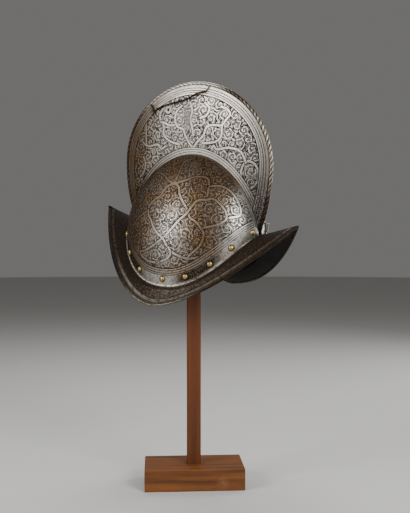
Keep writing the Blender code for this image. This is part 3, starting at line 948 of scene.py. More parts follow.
@dataclass(frozen=True)
class BlackenedSteel:
    """Inside of the plate: forge scale and old oil, with brown bloom and hammer marks, made nearly black, which also
    paints the shade under the brim.
    """

    name: str = "scaled_and_oiled_steel"
    colour: str = "#0D0B09"
    bloom: str = "#1F1711"

    def build(self) -> Material:
        """Make the material.

        Returns:
            The material.
        """
        made, tree, shader = start_material(self.name)
        shader.inputs["Metallic"].default_value = 0.35
        shader.inputs["Specular IOR Level"].default_value = 0.12
        place = add_node(tree, "ShaderNodeTexCoord").outputs["Object"]
        # Bloom in clouds of about 20 mm, over hammer marks of about 12 mm
        cloud = add_node(tree, "ShaderNodeTexNoise", named={"Vector": place, "Scale": 45.0, "Detail": 6.0,
                                                            "Roughness": 0.65})
        share = add_node(tree, "ShaderNodeMapRange", cloud, 0.42, 0.7, 0.0, 0.9)
        colour = add_node(tree, "ShaderNodeMix", named={0: share, 6: linear(self.colour), 7: linear(self.bloom)},
                          data_type="RGBA").outputs[2]
        tree.links.new(colour, shader.inputs["Base Color"])
        rough = add_node(tree, "ShaderNodeMapRange", cloud, 0.3, 0.7, 0.48, 0.72)
        tree.links.new(rough.outputs[0], shader.inputs["Roughness"])
        marks = add_node(tree, "ShaderNodeTexNoise", named={"Vector": place, "Scale": 80.0, "Detail": 3.0})
        dent = add_node(tree, "ShaderNodeBump", named={"Height": marks.outputs[0], "Strength": 0.6,
                                                       "Distance": 0.0008})
        tree.links.new(dent.outputs[0], shader.inputs["Normal"])
        return made


@dataclass(frozen=True)
class RopedSteel:
    """Turned edge filed into a rope: high places rubbed bright, grooves darkened as painted shade, with old soiling.
    """

    name: str
    high: str = "#B3A796"
    # Groove colour: painted shade in the grooves, with old soiling
    low: str = "#1C120C"
    rubbed: str = "#A8A298"
    brown: str = "#3B2A1D"

    def build(self) -> Material:
        """Make the material.

        Returns:
            The material, which reads the rope's grooves, and where it is rubbed and brown.
        """
        made, tree, shader = start_material(self.name)
        shader.inputs["Metallic"].default_value = 0.92
        place = add_node(tree, "ShaderNodeTexCoord").outputs["Object"]
        groove = add_node(tree, "ShaderNodeAttribute", attribute_name="groove").outputs["Fac"]
        # The filing is worn unevenly, over about 6 mm
        cloud = add_node(tree, "ShaderNodeTexNoise", named={"Vector": place, "Scale": 160.0, "Detail": 4.0})
        wear = add_node(tree, "ShaderNodeMapRange", cloud, 0.3, 0.7, -0.25, 0.3)
        # The strands are rubbed nearly flat, or brown, where the attributes say so; both also carry painted highlight
        # and painted shade
        flat = add_node(tree, "ShaderNodeAttribute", attribute_name="rubbed").outputs["Fac"]
        left = add_node(tree, "ShaderNodeMapRange", flat, 0.0, 1.0, 1.15, 0.12)
        cut = add_node(tree, "ShaderNodeMath", groove, left, operation="MULTIPLY")
        depth = add_node(tree, "ShaderNodeMath", cut, wear, operation="ADD", use_clamp=True)
        top = add_node(tree, "ShaderNodeMix", named={0: flat, 6: linear(self.high), 7: linear(self.rubbed)},
                       data_type="RGBA").outputs[2]
        aged = add_node(tree, "ShaderNodeAttribute", attribute_name="patina").outputs["Fac"]
        tone = add_node(tree, "ShaderNodeMix", named={0: aged, 6: top, 7: linear(self.brown)},
                        data_type="RGBA").outputs[2]
        colour = add_node(tree, "ShaderNodeMix", named={0: depth, 6: tone, 7: linear(self.low)},
                          data_type="RGBA").outputs[2]
        tree.links.new(colour, shader.inputs["Base Color"])
        rough = add_node(tree, "ShaderNodeMapRange", depth, 0.0, 1.0, 0.36, 0.7)
        tree.links.new(rough.outputs[0], shader.inputs["Roughness"])
        grain = add_node(tree, "ShaderNodeBump", named={"Height": cloud.outputs[0], "Strength": 0.5,
                                                        "Distance": 0.0002})
        tree.links.new(grain.outputs[0], shader.inputs["Normal"])
        return made


@dataclass(frozen=True)
class CastMetal:
    """Small turned or struck fittings: satin metal with specks of tarnish."""

    name: str
    colour: str
    tarnish: str
    roughness: float

    def build(self) -> Material:
        """Make the material.

        Returns:
            The material.
        """
        made, tree, shader = start_material(self.name)
        shader.inputs["Metallic"].default_value = 1.0
        place = add_node(tree, "ShaderNodeTexCoord").outputs["Object"]
        # Tarnish in specks of about 2 mm
        spots = add_node(tree, "ShaderNodeTexNoise", named={"Vector": place, "Scale": 420.0, "Detail": 5.0,
                                                            "Roughness": 0.65})
        share = add_node(tree, "ShaderNodeMapRange", spots, 0.42, 0.74, 0.0, 0.85)
        colour = add_node(tree, "ShaderNodeMix", named={0: share, 6: linear(self.colour), 7: linear(self.tarnish)},
                          data_type="RGBA").outputs[2]
        tree.links.new(colour, shader.inputs["Base Color"])
        rough = add_node(tree, "ShaderNodeMapRange", spots, 0.3, 0.75, self.roughness - 0.06, self.roughness + 0.22)
        tree.links.new(rough.outputs[0], shader.inputs["Roughness"])
        grain = add_node(tree, "ShaderNodeBump", named={"Height": spots.outputs[0], "Strength": 0.4,
                                                        "Distance": 0.00012})
        tree.links.new(grain.outputs[0], shader.inputs["Normal"])
        return made


@dataclass(frozen=True)
class OiledHardwood:
    """Sawn and sanded tropical hardwood under a thin oil: straight figure, fine open pores, a dull sheen.

    The pores are about 12 mm long and 0.4 mm wide, as coarse as they need to be to show.
    """

    name: str
    light: str
    dark: str
    turn: Point
    # Middle of a rubbed place, which lies far off where the piece has none
    scuff: Point = (0.0, 0.0, 9.0)
    scuff_radius: float = 0.011
    scuff_colour: str = "#B88B62"
    # Growth bands, before the distortion breaks them up
    band: float = 0.009

    def build(self) -> Material:
        """Make the material.

        Returns:
            The material, with its grain along the piece's own length.
        """
        made, tree, shader = start_material(self.name)
        shader.inputs["IOR"].default_value = 1.5
        shader.inputs["Specular IOR Level"].default_value = 0.28
        place = add_node(tree, "ShaderNodeTexCoord").outputs["Object"]
        turned = add_node(tree, "ShaderNodeMapping", named={"Vector": place, "Rotation": self.turn})
        # The X axis now runs along the grain
        drawn = add_node(tree, "ShaderNodeMapping", named={"Vector": turned.outputs[0], "Scale": (0.07, 1.0, 1.0)})
        # Broad light and dark stripes of about 10 mm, and the growth bands among them
        sway = add_node(tree, "ShaderNodeTexNoise", named={"Vector": drawn.outputs[0], "Scale": 95.0, "Detail": 4.0})
        figure = add_node(tree, "ShaderNodeTexWave", wave_type="BANDS", bands_direction="Y", wave_profile="SAW",
                          named={"Vector": drawn.outputs[0], "Scale": 0.31 / self.band, "Distortion": 5.5,
                                 "Detail": 3.0, "Detail Scale": 0.7, "Detail Roughness": 0.6})
        fine = add_node(tree, "ShaderNodeMapping", named={"Vector": turned.outputs[0], "Scale": (0.035, 1.0, 1.0)})
        pores = add_node(tree, "ShaderNodeTexNoise", named={"Vector": fine.outputs[0], "Scale": 2300.0,
                                                            "Detail": 2.0, "Roughness": 0.7})
        pore = add_node(tree, "ShaderNodeMapRange", pores, 0.56, 0.68, 0.0, 1.0)
        broad = add_node(tree, "ShaderNodeMapRange", sway, 0.32, 0.7, 0.0, 1.0)
        mixed = add_node(tree, "ShaderNodeMath", figure, 0.55, operation="MULTIPLY")
        share = add_node(tree, "ShaderNodeMath", broad, 0.6, mixed, operation="MULTIPLY_ADD", use_clamp=True)
        wood = add_node(tree, "ShaderNodeMix", named={0: share, 6: linear(self.light), 7: linear(self.dark)},
                        data_type="RGBA").outputs[2]
        shade = add_node(tree, "ShaderNodeMapRange", pore, 0.0, 1.0, 1.0, 0.62)
        colour = add_node(tree, "ShaderNodeMix", named={0: 1.0, 6: wood, 7: shade.outputs[0]}, data_type="RGBA",
                          blend_type="MULTIPLY").outputs[2]
        # A rubbed place on the block's face, where the oil is gone in fine scratches
        reach = add_node(tree, "ShaderNodeVectorMath", place, self.scuff, operation="DISTANCE").outputs["Value"]
        near = add_node(tree, "ShaderNodeMapRange", reach, 0.2 * self.scuff_radius, self.scuff_radius, 0.3, 0.0)
        across = add_node(tree, "ShaderNodeMapping", named={"Vector": turned.outputs[0], "Scale": (0.16, 1.0, 1.0)})
        scratch = add_node(tree, "ShaderNodeTexNoise", named={"Vector": across.outputs[0], "Scale": 900.0,
                                                              "Detail": 3.0, "Roughness": 0.6})
        scratched = add_node(tree, "ShaderNodeMapRange", scratch, 0.46, 0.62, 0.15, 1.0)
        scuffed = add_node(tree, "ShaderNodeMath", near, scratched, operation="MULTIPLY")
        colour = add_node(tree, "ShaderNodeMix", named={0: scuffed, 6: colour, 7: linear(self.scuff_colour)},
                          data_type="RGBA").outputs[2]
        tree.links.new(colour, shader.inputs["Base Color"])
        rough = add_node(tree, "ShaderNodeMapRange", share, 0.0, 1.0, 0.46, 0.6)
        tree.links.new(rough.outputs[0], shader.inputs["Roughness"])
        cut = add_node(tree, "ShaderNodeBump", named={"Height": pore.outputs[0], "Strength": 0.35,
                                                      "Distance": 0.00012}, invert=True)
        tree.links.new(cut.outputs[0], shader.inputs["Normal"])
        return made


# Pieces of the helmet


@dataclass
class PlatePart:
    """Part of the helmet's plate, etched on its outer face and blackened on its inner one."""

    shape: HelmetShape
    steel: Material
    lining: Material

    def cover(self, name: str, outer: Array, inner: Array, fields: dict[str, Array], wrap: bool = False) -> Piece:
        """Close one stretch of plate and finish it.

        Args:
            name: Name of the piece.
            outer: Points of its outer face, by column and row, in the helmet's frame.
            inner: Points of its inner face, from the outer face's last row back to its first.
            fields: What the etched steel reads, by column and row of the outer face.
            wrap: Whether the last column joins the first.

        Returns:
            The finished piece.
        """
        rows, more = outer.shape[1], inner.shape[1]
        rings = self.shape.stand(np.concatenate([outer, inner], axis=1))
        kept = {label: np.concatenate([values, np.repeat(values[:, -1:], more, axis=1)], axis=1)
                for label, values in fields.items()}
        piece = ring_solid(name, rings, wrap, kept, np.arange(rows + more) >= rows - 1)
        for finish in (self.steel, self.lining):
            piece.data.materials.append(finish)
        return settle(piece, Slot.STEEL, "shell")


@dataclass
class Comb(PlatePart):
    """Tall comb: etched on both sides, with a cracked lap and a small hole on the left."""

    columns: int = 640
    rows: int = 146
    inner_rows: int = 8
    border_points: int = 1500
    # Scrolls keep this many millimetres from the edge and from the base
    scroll_edge: float = 24.0
    scroll_base: float = 14.0
    scroll_seed: int = 11
    # The lap stands this many millimetres proud, over a groove of this depth, place and width below its edge
    lap_height: float = 0.55
    groove_depth: float = 0.3
    groove_place: float = -1.2
    groove_width: float = 1.6
    # Millimetres to the hole's edge, and in the plain disc round it to where its rim starts and its outline ends
    hole_radius: float = 0.8
    disc_flat: float = 4.1
    disc_edge: float = 6.4
    # Places in the comb's own plane: millimetres ahead of the bowl's centre, and up
    hole: tuple[float, float] = (53.2, 250.9)
    dent: tuple[float, float] = (80.0, 248.0)
    worn_patch: tuple[float, float] = (16.0, 238.0)
    lap: tuple[tuple[float, float], ...] = (
        (101, 258), (91.5, 261), (83.5, 255), (80, 247.5), (76.5, 253), (70, 255), (55, 259.5), (41, 263), (27, 266),
        (13, 271), (4, 276), (-14, 280), (-17, 286))
    straps: tuple[tuple[tuple[float, float], ...], ...] = (
        ((28, 257), (36, 250), (39, 237), (33, 226), (22, 222), (17, 212), (4, 197), (-5, 205), (-15, 215),
         (-20, 227), (-30, 230), (-45, 230), (-52, 238), (-58, 246), (-52, 253), (-42, 257)),
        ((52, 258), (63, 253), (69, 243), (66, 234), (60, 227), (59, 215), (52, 207), (40, 202), (28, 200)),
        ((66, 232), (58, 231), (50, 228), (40, 228)),
        ((-46, 228), (-46, 215), (-39, 207), (-27, 204), (-14, 203)),
        ((97, 234), (95, 215), (93, 198)),
        ((104, 204), (96, 197), (85, 195), (70, 198), (62, 192), (54, 196)),
        ((98, 178), (93, 168), (96, 155), (103, 147)),
        ((-30, 196), (-34, 200), (-40, 195), (-57, 198), (-70, 197), (-80, 193), (-86, 185), (-89, 178)),
        ((-94, 181), (-104, 176), (-110, 163), (-107, 150), (-97, 142), (-87, 150), (-82, 163), (-86, 176),
         (-94, 181)),
        ((13, 262), (8, 250), (10, 238), (6, 226), (3, 214)),
        ((-14, 262), (-22, 254), (-18, 244), (-8, 240)))

    def build(self) -> list[Piece]:
        """Build both sides.

        Returns:
            The left and the right side.
        """
        turn = np.arccos(np.linspace(1.0, -1.0, self.columns))[:, None]
        climb = np.linspace(0.0, 1.0, self.rows)[None, :]
        outer = self.shape.comb(turn + 0.0 * climb, climb + 0.0 * turn)
        down = np.linspace(1.0, 0.0, self.inner_rows)[None, :]
        inner = self.shape.comb(turn + 0.0 * down, down + 0.0 * turn, True)
        fields = self.fields(outer)
        made = []
        for side in Side:
            face = outer.copy()
            if side is Side.LEFT:
                face[..., 1] += self.damage(outer)
            made.append(self.cover(f"comb_{side.name.lower()}", mirrored(face, side.value),
                                   mirrored(inner, side.value), fields[side]))
        return made

    def lap_offset(self, outer: Array) -> tuple[Array, Array]:
        """Measure places against the lap, which fades out at both ends.

        Args:
            outer: Points of the comb's left face.

        Returns:
            Height of each above the lap's edge in millimetres, and how much of the lap there is.
        """
        line = np.array(sorted(self.lap))
        x, z = outer[..., 0] / MM, outer[..., 2] / MM
        window = smooth(x, -22.0, -15.0) * (1.0 - smooth(x, 84.0, 110.0))
        return z - np.interp(x, line[:, 0], line[:, 1]), window

    def damage(self, outer: Array) -> Array:
        """Shift the left face for the lap, its dents and the small hole.

        Args:
            outer: Points of the comb's left face.

        Returns:
            How far each moves outwards, in metres.
        """
        above, window = self.lap_offset(outer)
        x, z = outer[..., 0] / MM, outer[..., 2] / MM
        # The lap rises at its edge and dies away upwards in low waves of about 20 and 37 mm
        lift = self.lap_height * smooth(above, -0.7, 0.7) * np.exp(-np.clip(above, 0.0, None) / 11.0)
        sink = -self.groove_depth * np.exp(-np.abs(above - self.groove_place) / self.groove_width)
        waves = 0.1 * np.sin(x * 0.17 + 1.0) * np.sin(above * 0.3) * smooth(above, 0.0, 4.0)
        # It stops below the rope
        taper = 1.0 - smooth(z, 283.0, 290.0)
        gap = np.hypot(x - self.hole[0], z - self.hole[1])
        hole = -1.5 * (1.0 - smooth(gap, self.hole_radius * 0.7, self.hole_radius * 1.3))
        pit = -0.7 * bump(np.hypot(x - self.dent[0], z - self.dent[1]), 0.0, 2.2)
        return ((lift + sink + waves) * window * taper + hole + pit) * MM

    def fields(self, outer: Array) -> dict[Side, dict[str, Array]]:
        """Work out what the etched steel reads, for each side.

        Args:
            outer: Points of the comb's left face.

        Returns:
            For each side, distances in millimetres, the scrolls, and shares of patina, of old soiling with painted
            shade, and of wear.
        """
        flat = outer.reshape(-1, 3) / MM
        plane = flat * np.array([1.0, 0.0, 1.0])
        grid = outer.shape[:2]
        turn = np.linspace(0.0, math.pi, self.border_points)
        edge = nearest(plane, self.shape.outline(turn) / MM)
        base = nearest(flat, self.shape.ridge(turn) / MM)
        straps = Strapwork()
        strap = straps.spread(plane, [np.insert(smooth_line(points), 1, 0.0, axis=1) for points in self.straps])
        free = (strap > straps.clear) & (edge > self.scroll_edge) & (base > self.scroll_base)
        scroll = ScrollGarden(self.scroll_seed).plant(outer / MM, free.reshape(grid))
        x, z = flat[:, 0], flat[:, 2]
        # Brown patina at the front and low down. Painted shade: in the crease at the base, over the front, over the
        # back and more so low down, and along the rope at the back; darker near the base towards the front
        front = smooth(x, 52.0, 122.0)
        behind = smooth(-x, 48.0, 122.0)
        patina = 0.08 + 0.85 * front + 0.25 * (1.0 - smooth(z, 90.0, 150.0))
        grime_and_shade = 0.75 * (1.0 - smooth(base, 0.2, 1.2)) + 0.4 * front
        grime_and_shade += behind * (0.3 + 0.4 * (1.0 - smooth(z, 120.0, 190.0)))
        grime_and_shade += 0.3 * (1.0 - smooth(edge, 3.5, 7.0)) * smooth(-x, 10.0, 70.0)
        grime_and_shade += 0.26 * smooth(x, 0.0, 60.0) * (1.0 - smooth(base, 9.0, 14.0))
        # Painted shadow in the groove under the lap; below it brown staining that is partly painted shadow under the
        # lap's edge; painted shade in and round the dent
        above, window = self.lap_offset(outer)
        damage_shade_and_stain = (0.8 * bump(above, self.groove_place, self.groove_width) * window).reshape(-1)
        stain_and_lip_shadow = (np.where(above < 0.0, np.exp(above / 4.5), 0.0) * window).reshape(-1)
        damage_shade_and_stain += 0.36 * stain_and_lip_shadow + 0.35 * bump(x, 84.0, 5.0) * bump(z, 250.0, 8.0)
        gap = np.hypot(x - self.hole[0], z - self.hole[1])
        # The small hole is only a shallow pit, painted dark out to about 2 mm for the shade in and round it
        damage_shade_and_stain += 1.8 * (1.0 - smooth(gap, 1.8, 2.7))
        damage_shade_and_stain += 0.8 * bump(np.hypot(x - self.dent[0], z - self.dent[1]), 0.0, 2.4)
        common = {"strap_mm": strap, "edge_mm": edge, "base_mm": base, "patina": patina, "grime_and_shade": grime_and_shade}
        made = {side: {label: values.reshape(grid) for label, values in common.items()} for side in Side}
        worn = 0.85 * bump(x, self.worn_patch[0], 8.5) * bump(z, self.worn_patch[1], 20.0)
        for side, share in ((Side.LEFT, 1.0), (Side.RIGHT, 0.0)):
            made[side]["scroll"] = scroll
            made[side]["worn"] = share * worn.reshape(grid)
        left = made[Side.LEFT]
        left["grime_and_shade"] = np.clip(left["grime_and_shade"] + damage_shade_and_stain.reshape(grid), 0.0, 1.0)
        left["patina"] = np.clip(left["patina"] + 0.75 * stain_and_lip_shadow.reshape(grid), 0.0, 1.0)
        # No strap runs over the lap, and round the hole the distance makes a plain disc with a dark outline
        rub = smooth(above, 0.4, 3.0) * window
        disc = np.clip(gap - self.disc_flat, 0.0, None).reshape(grid)
        left["strap_mm"] = np.where(rub > 0.3, NO_STRAP, left["strap_mm"])
        left["strap_mm"] = np.where(gap.reshape(grid) < self.disc_edge, disc, left["strap_mm"])
        return made


@dataclass
class Bowl(PlatePart):
    """Round bowl with its big etched straps, in a left and a right half."""

    rivets: Array
    columns: int = 480
    rows: int = 192
    inner_rows: int = 12
    border_points: int = 1200
    # Scrolls keep this many millimetres from the ridge and from the root line
    scroll_edge: float = 10.0
    scroll_base: float = 31.0
    scroll_seed: int = 5
    # Ornament on the bowl: degrees round from the front, and climb from the root to the ridge
    straps: tuple[tuple[tuple[float, float], ...], ...] = (
        ((60, 0.76), (66, 0.72), (75, 0.67), (83, 0.61), (90, 0.59), (98, 0.62), (105, 0.67), (113, 0.70),
         (116, 0.68), (118, 0.62), (119, 0.56)),
        ((71, 0.41), (71, 0.44), (76, 0.48), (80, 0.50), (84, 0.56), (89, 0.58), (94, 0.57), (97, 0.52),
         (101, 0.48), (106, 0.44), (110, 0.39), (115, 0.37), (120, 0.33), (123, 0.29), (121, 0.22), (113, 0.165)),
        ((63, 0.145), (69, 0.16), (75, 0.18), (81, 0.21), (90, 0.26), (96, 0.31), (102, 0.37), (106.5, 0.41),
         (110, 0.47), (113, 0.51), (119, 0.53), (125, 0.56), (135, 0.52), (139, 0.44), (135, 0.38), (128, 0.35),
         (120, 0.33)),
        ((71, 0.41), (72, 0.38), (76, 0.35), (80, 0.31), (85, 0.28), (90, 0.26), (95, 0.22), (100, 0.19),
         (106, 0.17), (113, 0.15), (122, 0.145)),
        ((50, 0.28), (55, 0.31), (60, 0.35), (65, 0.38), (71, 0.41)),
        ((147, 0.20), (141, 0.17), (137, 0.14), (130, 0.125)),
        ((44, 0.50), (50, 0.58), (56, 0.60), (62, 0.56), (64, 0.49), (71, 0.43)),
        ((139, 0.44), (146, 0.50), (150, 0.58), (147, 0.68), (138, 0.74), (128, 0.72), (118, 0.64)),
        ((96, 0.86), (90, 0.80), (90, 0.70), (90, 0.60)),
        ((96, 0.215), (98, 0.195), (98, 0.175), (95.5, 0.155), (91, 0.138)),
        ((68, 0.157), (69, 0.143), (73, 0.130), (79, 0.124), (85, 0.126)))

    def build(self) -> list[Piece]:
        """Build both halves.

        Returns:
            The left and the right half.
        """
        turn = np.linspace(0.0, math.pi, self.columns)[:, None]
        climb = np.linspace(0.0, 1.0, self.rows)[None, :]
        outer = self.shape.bowl(turn, climb)
        inner = self.shape.bowl(turn, np.linspace(1.0, 0.0, self.inner_rows)[None, :], self.shape.plate)
        fields = self.fields(outer, turn, climb)
        made = []
        for side in Side:
            grime_and_shade = np.clip(fields["grime_and_shade"] + self.rivet_rings(outer, side), 0.0, 1.0)
            made.append(self.cover(f"bowl_{side.name.lower()}", mirrored(outer, side.value),
                                   mirrored(inner, side.value), {**fields, "grime_and_shade": grime_and_shade}))
        return made

    def rivet_rings(self, outer: Array, side: Side) -> Array:
        """Lay dark rings round the rivets: painted shade at their feet, with old soiling.

        Args:
            outer: Points of the bowl's left face.
            side: Side whose rivets count.

        Returns:
            Share of that darkening at each point.
        """
        own = mirrored(self.rivets[self.rivets[:, 1] * side.value > 0.0], side.value)
        gap = nearest(outer.reshape(-1, 3) / MM, own / MM)
        return (0.85 * (1.0 - smooth(gap, 3.8, 6.4))).reshape(outer.shape[:2])

    def fields(self, outer: Array, turn: Array, climb: Array) -> dict[str, Array]:
        """Work out what the etched steel reads, without the dark rings round the rivets.

        Args:
            outer: Points of the bowl's left face.
            turn: Turn of each column.
            climb: Climb of each row.

        Returns:
            Distances in millimetres, the scrolls, and shares of patina and of old soiling with painted shade.
        """
        flat = outer.reshape(-1, 3) / MM
        grid = outer.shape[:2]
        around = np.linspace(0.0, math.pi, self.border_points)
        edge = nearest(flat, self.shape.ridge(around) / MM)
        base = nearest(flat, self.shape.root(around) / MM)
        lines = []
        for points in self.straps:
            line = smooth_line(points)
            lines.append(self.shape.bowl(np.radians(line[:, 0]), line[:, 1]) / MM)
        straps = Strapwork()
        strap = straps.spread(flat, lines)
        free = (strap > straps.clear) & (edge > self.scroll_edge) & (base > self.scroll_base)
        scroll = ScrollGarden(self.scroll_seed).plant(outer / MM, free.reshape(grid))
        degrees, rise = np.degrees(turn) + 0.0 * climb, climb + 0.0 * turn
        # Brown all over, but for a rubbed place on the side; the back and a stretch of the foot are left bright steel
        # as painted highlight
        rear = smooth(degrees, 128.0, 146.0)
        unbrowned = 0.85 * bump(degrees, 93.0, 17.0) * bump(rise, 0.3, 0.17) + 0.95 * rear
        lit_foot = smooth(degrees, 64.0, 78.0) * (1.0 - smooth(degrees, 97.0, 112.0))
        foot = 0.97 * lit_foot * (1.0 - smooth(base, 13.0, 16.0)).reshape(grid)
        patina = 0.97 - 0.95 * unbrowned - np.maximum(foot, 0.25 * bump(degrees, 92.0, 26.0)
                                                  * (1.0 - smooth(rise, 0.16, 0.26)))
        # A bright line along the root: painted highlight, where a rounded root would catch the light
        patina -= (0.7 * (1.0 - smooth(base, 1.0, 2.6))).reshape(grid)
        # Painted shade over the front and towards the ridge; old soiling in the band of rivets, but not on the lit
        # back and foot; painted shade on the root line near the back and in the crease along the ridge
        shade = 0.5 * (1.0 - smooth(degrees, 50.0, 80.0)) + 0.32 * smooth(rise, 0.6, 0.9) * (1.0 - 0.9 * rear)
        shade = shade * smooth(base, 1.5, 3.5).reshape(grid)
        band = smooth(base, 2.0, 3.6) * (1.0 - smooth(base, 12.0, 15.5))
        grime_and_shade = 0.8 * band * (1.0 - rear.reshape(-1)) * (1.0 - 0.97 * lit_foot.reshape(-1))
        grime_and_shade += 0.6 * bump(degrees, 119.0, 13.0).reshape(-1) * (1.0 - smooth(base, 2.0, 3.6))
        grime_and_shade += 0.5 * (1.0 - smooth(edge, 0.3, 3.0)) * (1.0 - 0.8 * rear.reshape(-1))
        grime_and_shade += shade.reshape(-1)
        made = {"strap_mm": strap, "edge_mm": edge, "base_mm": base, "grime_and_shade": grime_and_shade}
        made = {label: values.reshape(grid) for label, values in made.items()}
        return {**made, "patina": np.clip(patina, 0.0, 1.0), "scroll": scroll}


@dataclass
class Brim(PlatePart):
    """Pointed brim, swept up at both ends, in one piece all round."""

    columns: int = 720
    rows: int = 60
    under_rows: int = 16
    # How much closer together the columns lie towards both points
    crowding: float = 0.30
    border_points: int = 1800
    # Scrolls keep this many millimetres from the edge and from the root line
    scroll_edge: float = 15.0
    scroll_base: float = 6.0
    scroll_spacing: float = 9.5
    scroll_seed: int = 3

    def build(self) -> list[Piece]:
        """Build the brim.

        Returns:
            The brim, in a list.
        """
        around = np.linspace(0.0, 2.0 * math.pi, self.columns, endpoint=False)
        turn, sign = (part[:, None] for part in fold(around - self.crowding * np.sin(2.0 * around)))
        reach = np.linspace(0.0, 1.0, self.rows)[None, :]
        back = np.linspace(1.0, 0.0, self.under_rows)[None, :]
        top = self.shape.brim(turn + 0.0 * reach, reach + 0.0 * turn)
        under = self.shape.brim(turn + 0.0 * back, back + 0.0 * turn, True)
        return [self.cover("brim", mirrored(top, sign), mirrored(under, sign), self.fields(top, turn, sign), True)]

    def fields(self, top: Array, turn: Array, sign: Array) -> dict[str, Array]:
        """Work out what the etched steel reads.

        Args:
            top: Points of the upper face, all turned to the left side.
            turn: Turn of each column.
            sign: Sign of each column's side.

        Returns:
            Distances in millimetres, the scrolls, and shares of patina and of old soiling with painted shade.
        """
        flat = top.reshape(-1, 3) / MM
        grid = top.shape[:2]
        line = np.linspace(0.0, math.pi, self.border_points)
        edge = nearest(flat, self.shape.edge(line) / MM).reshape(grid)
        base = nearest(flat, self.shape.root(line) / MM).reshape(grid)
        free = (edge > self.scroll_edge) & (base > self.scroll_base)
        scroll = ScrollGarden(self.scroll_seed, self.scroll_spacing).plant(mirrored(top, sign) / MM, free)
        degrees = np.degrees(turn) + 0.0 * top[..., 0]
        # Painted highlight along the side and on the root line; a line inside the edge, partly rubbed bright by hands
        # and partly painted highlight
        side = bump(degrees, 101.0, np.where(degrees < 101.0, 26.0, 34.0))
        rubbed_and_lit_line = bump(edge, 9.0, 3.2) * np.maximum(bump(degrees, 82.0, 28.0), 0.28)
        patina = 0.95 - 0.4 * side - 0.55 * (1.0 - smooth(base, 0.8, 2.6)) - 0.8 * rubbed_and_lit_line
        # Darker just beside the root line; painted shadow of the rope along the edge; painted shade, with old
        # soiling, over the rest but the lit side and line, most towards both points; painted shade on the root line
        # near the back
        grime_and_shade = 0.35 * smooth(base, 2.0, 4.0) * (1.0 - smooth(base, 6.0, 9.0)) + 0.45 * (1.0 - smooth(edge, 1.8, 3.4))
        dull = 0.94 - 0.16 * smooth(degrees, 95.0, 135.0)
        grime_and_shade += (0.26 + (dull - 0.18) * (1.0 - side)) * smooth(base, 0.8, 3.0) * (1.0 - 0.95 * rubbed_and_lit_line)
        grime_and_shade += 0.6 * bump(degrees, 119.0, 13.0) * (1.0 - smooth(base, 1.5, 3.5))
        return {"strap_mm": NO_STRAP + 0.0 * edge, "edge_mm": edge, "base_mm": base,
                "patina": np.clip(patina, 0.0, 1.0), "grime_and_shade": np.clip(grime_and_shade, 0.0, 1.0), "scroll": scroll}


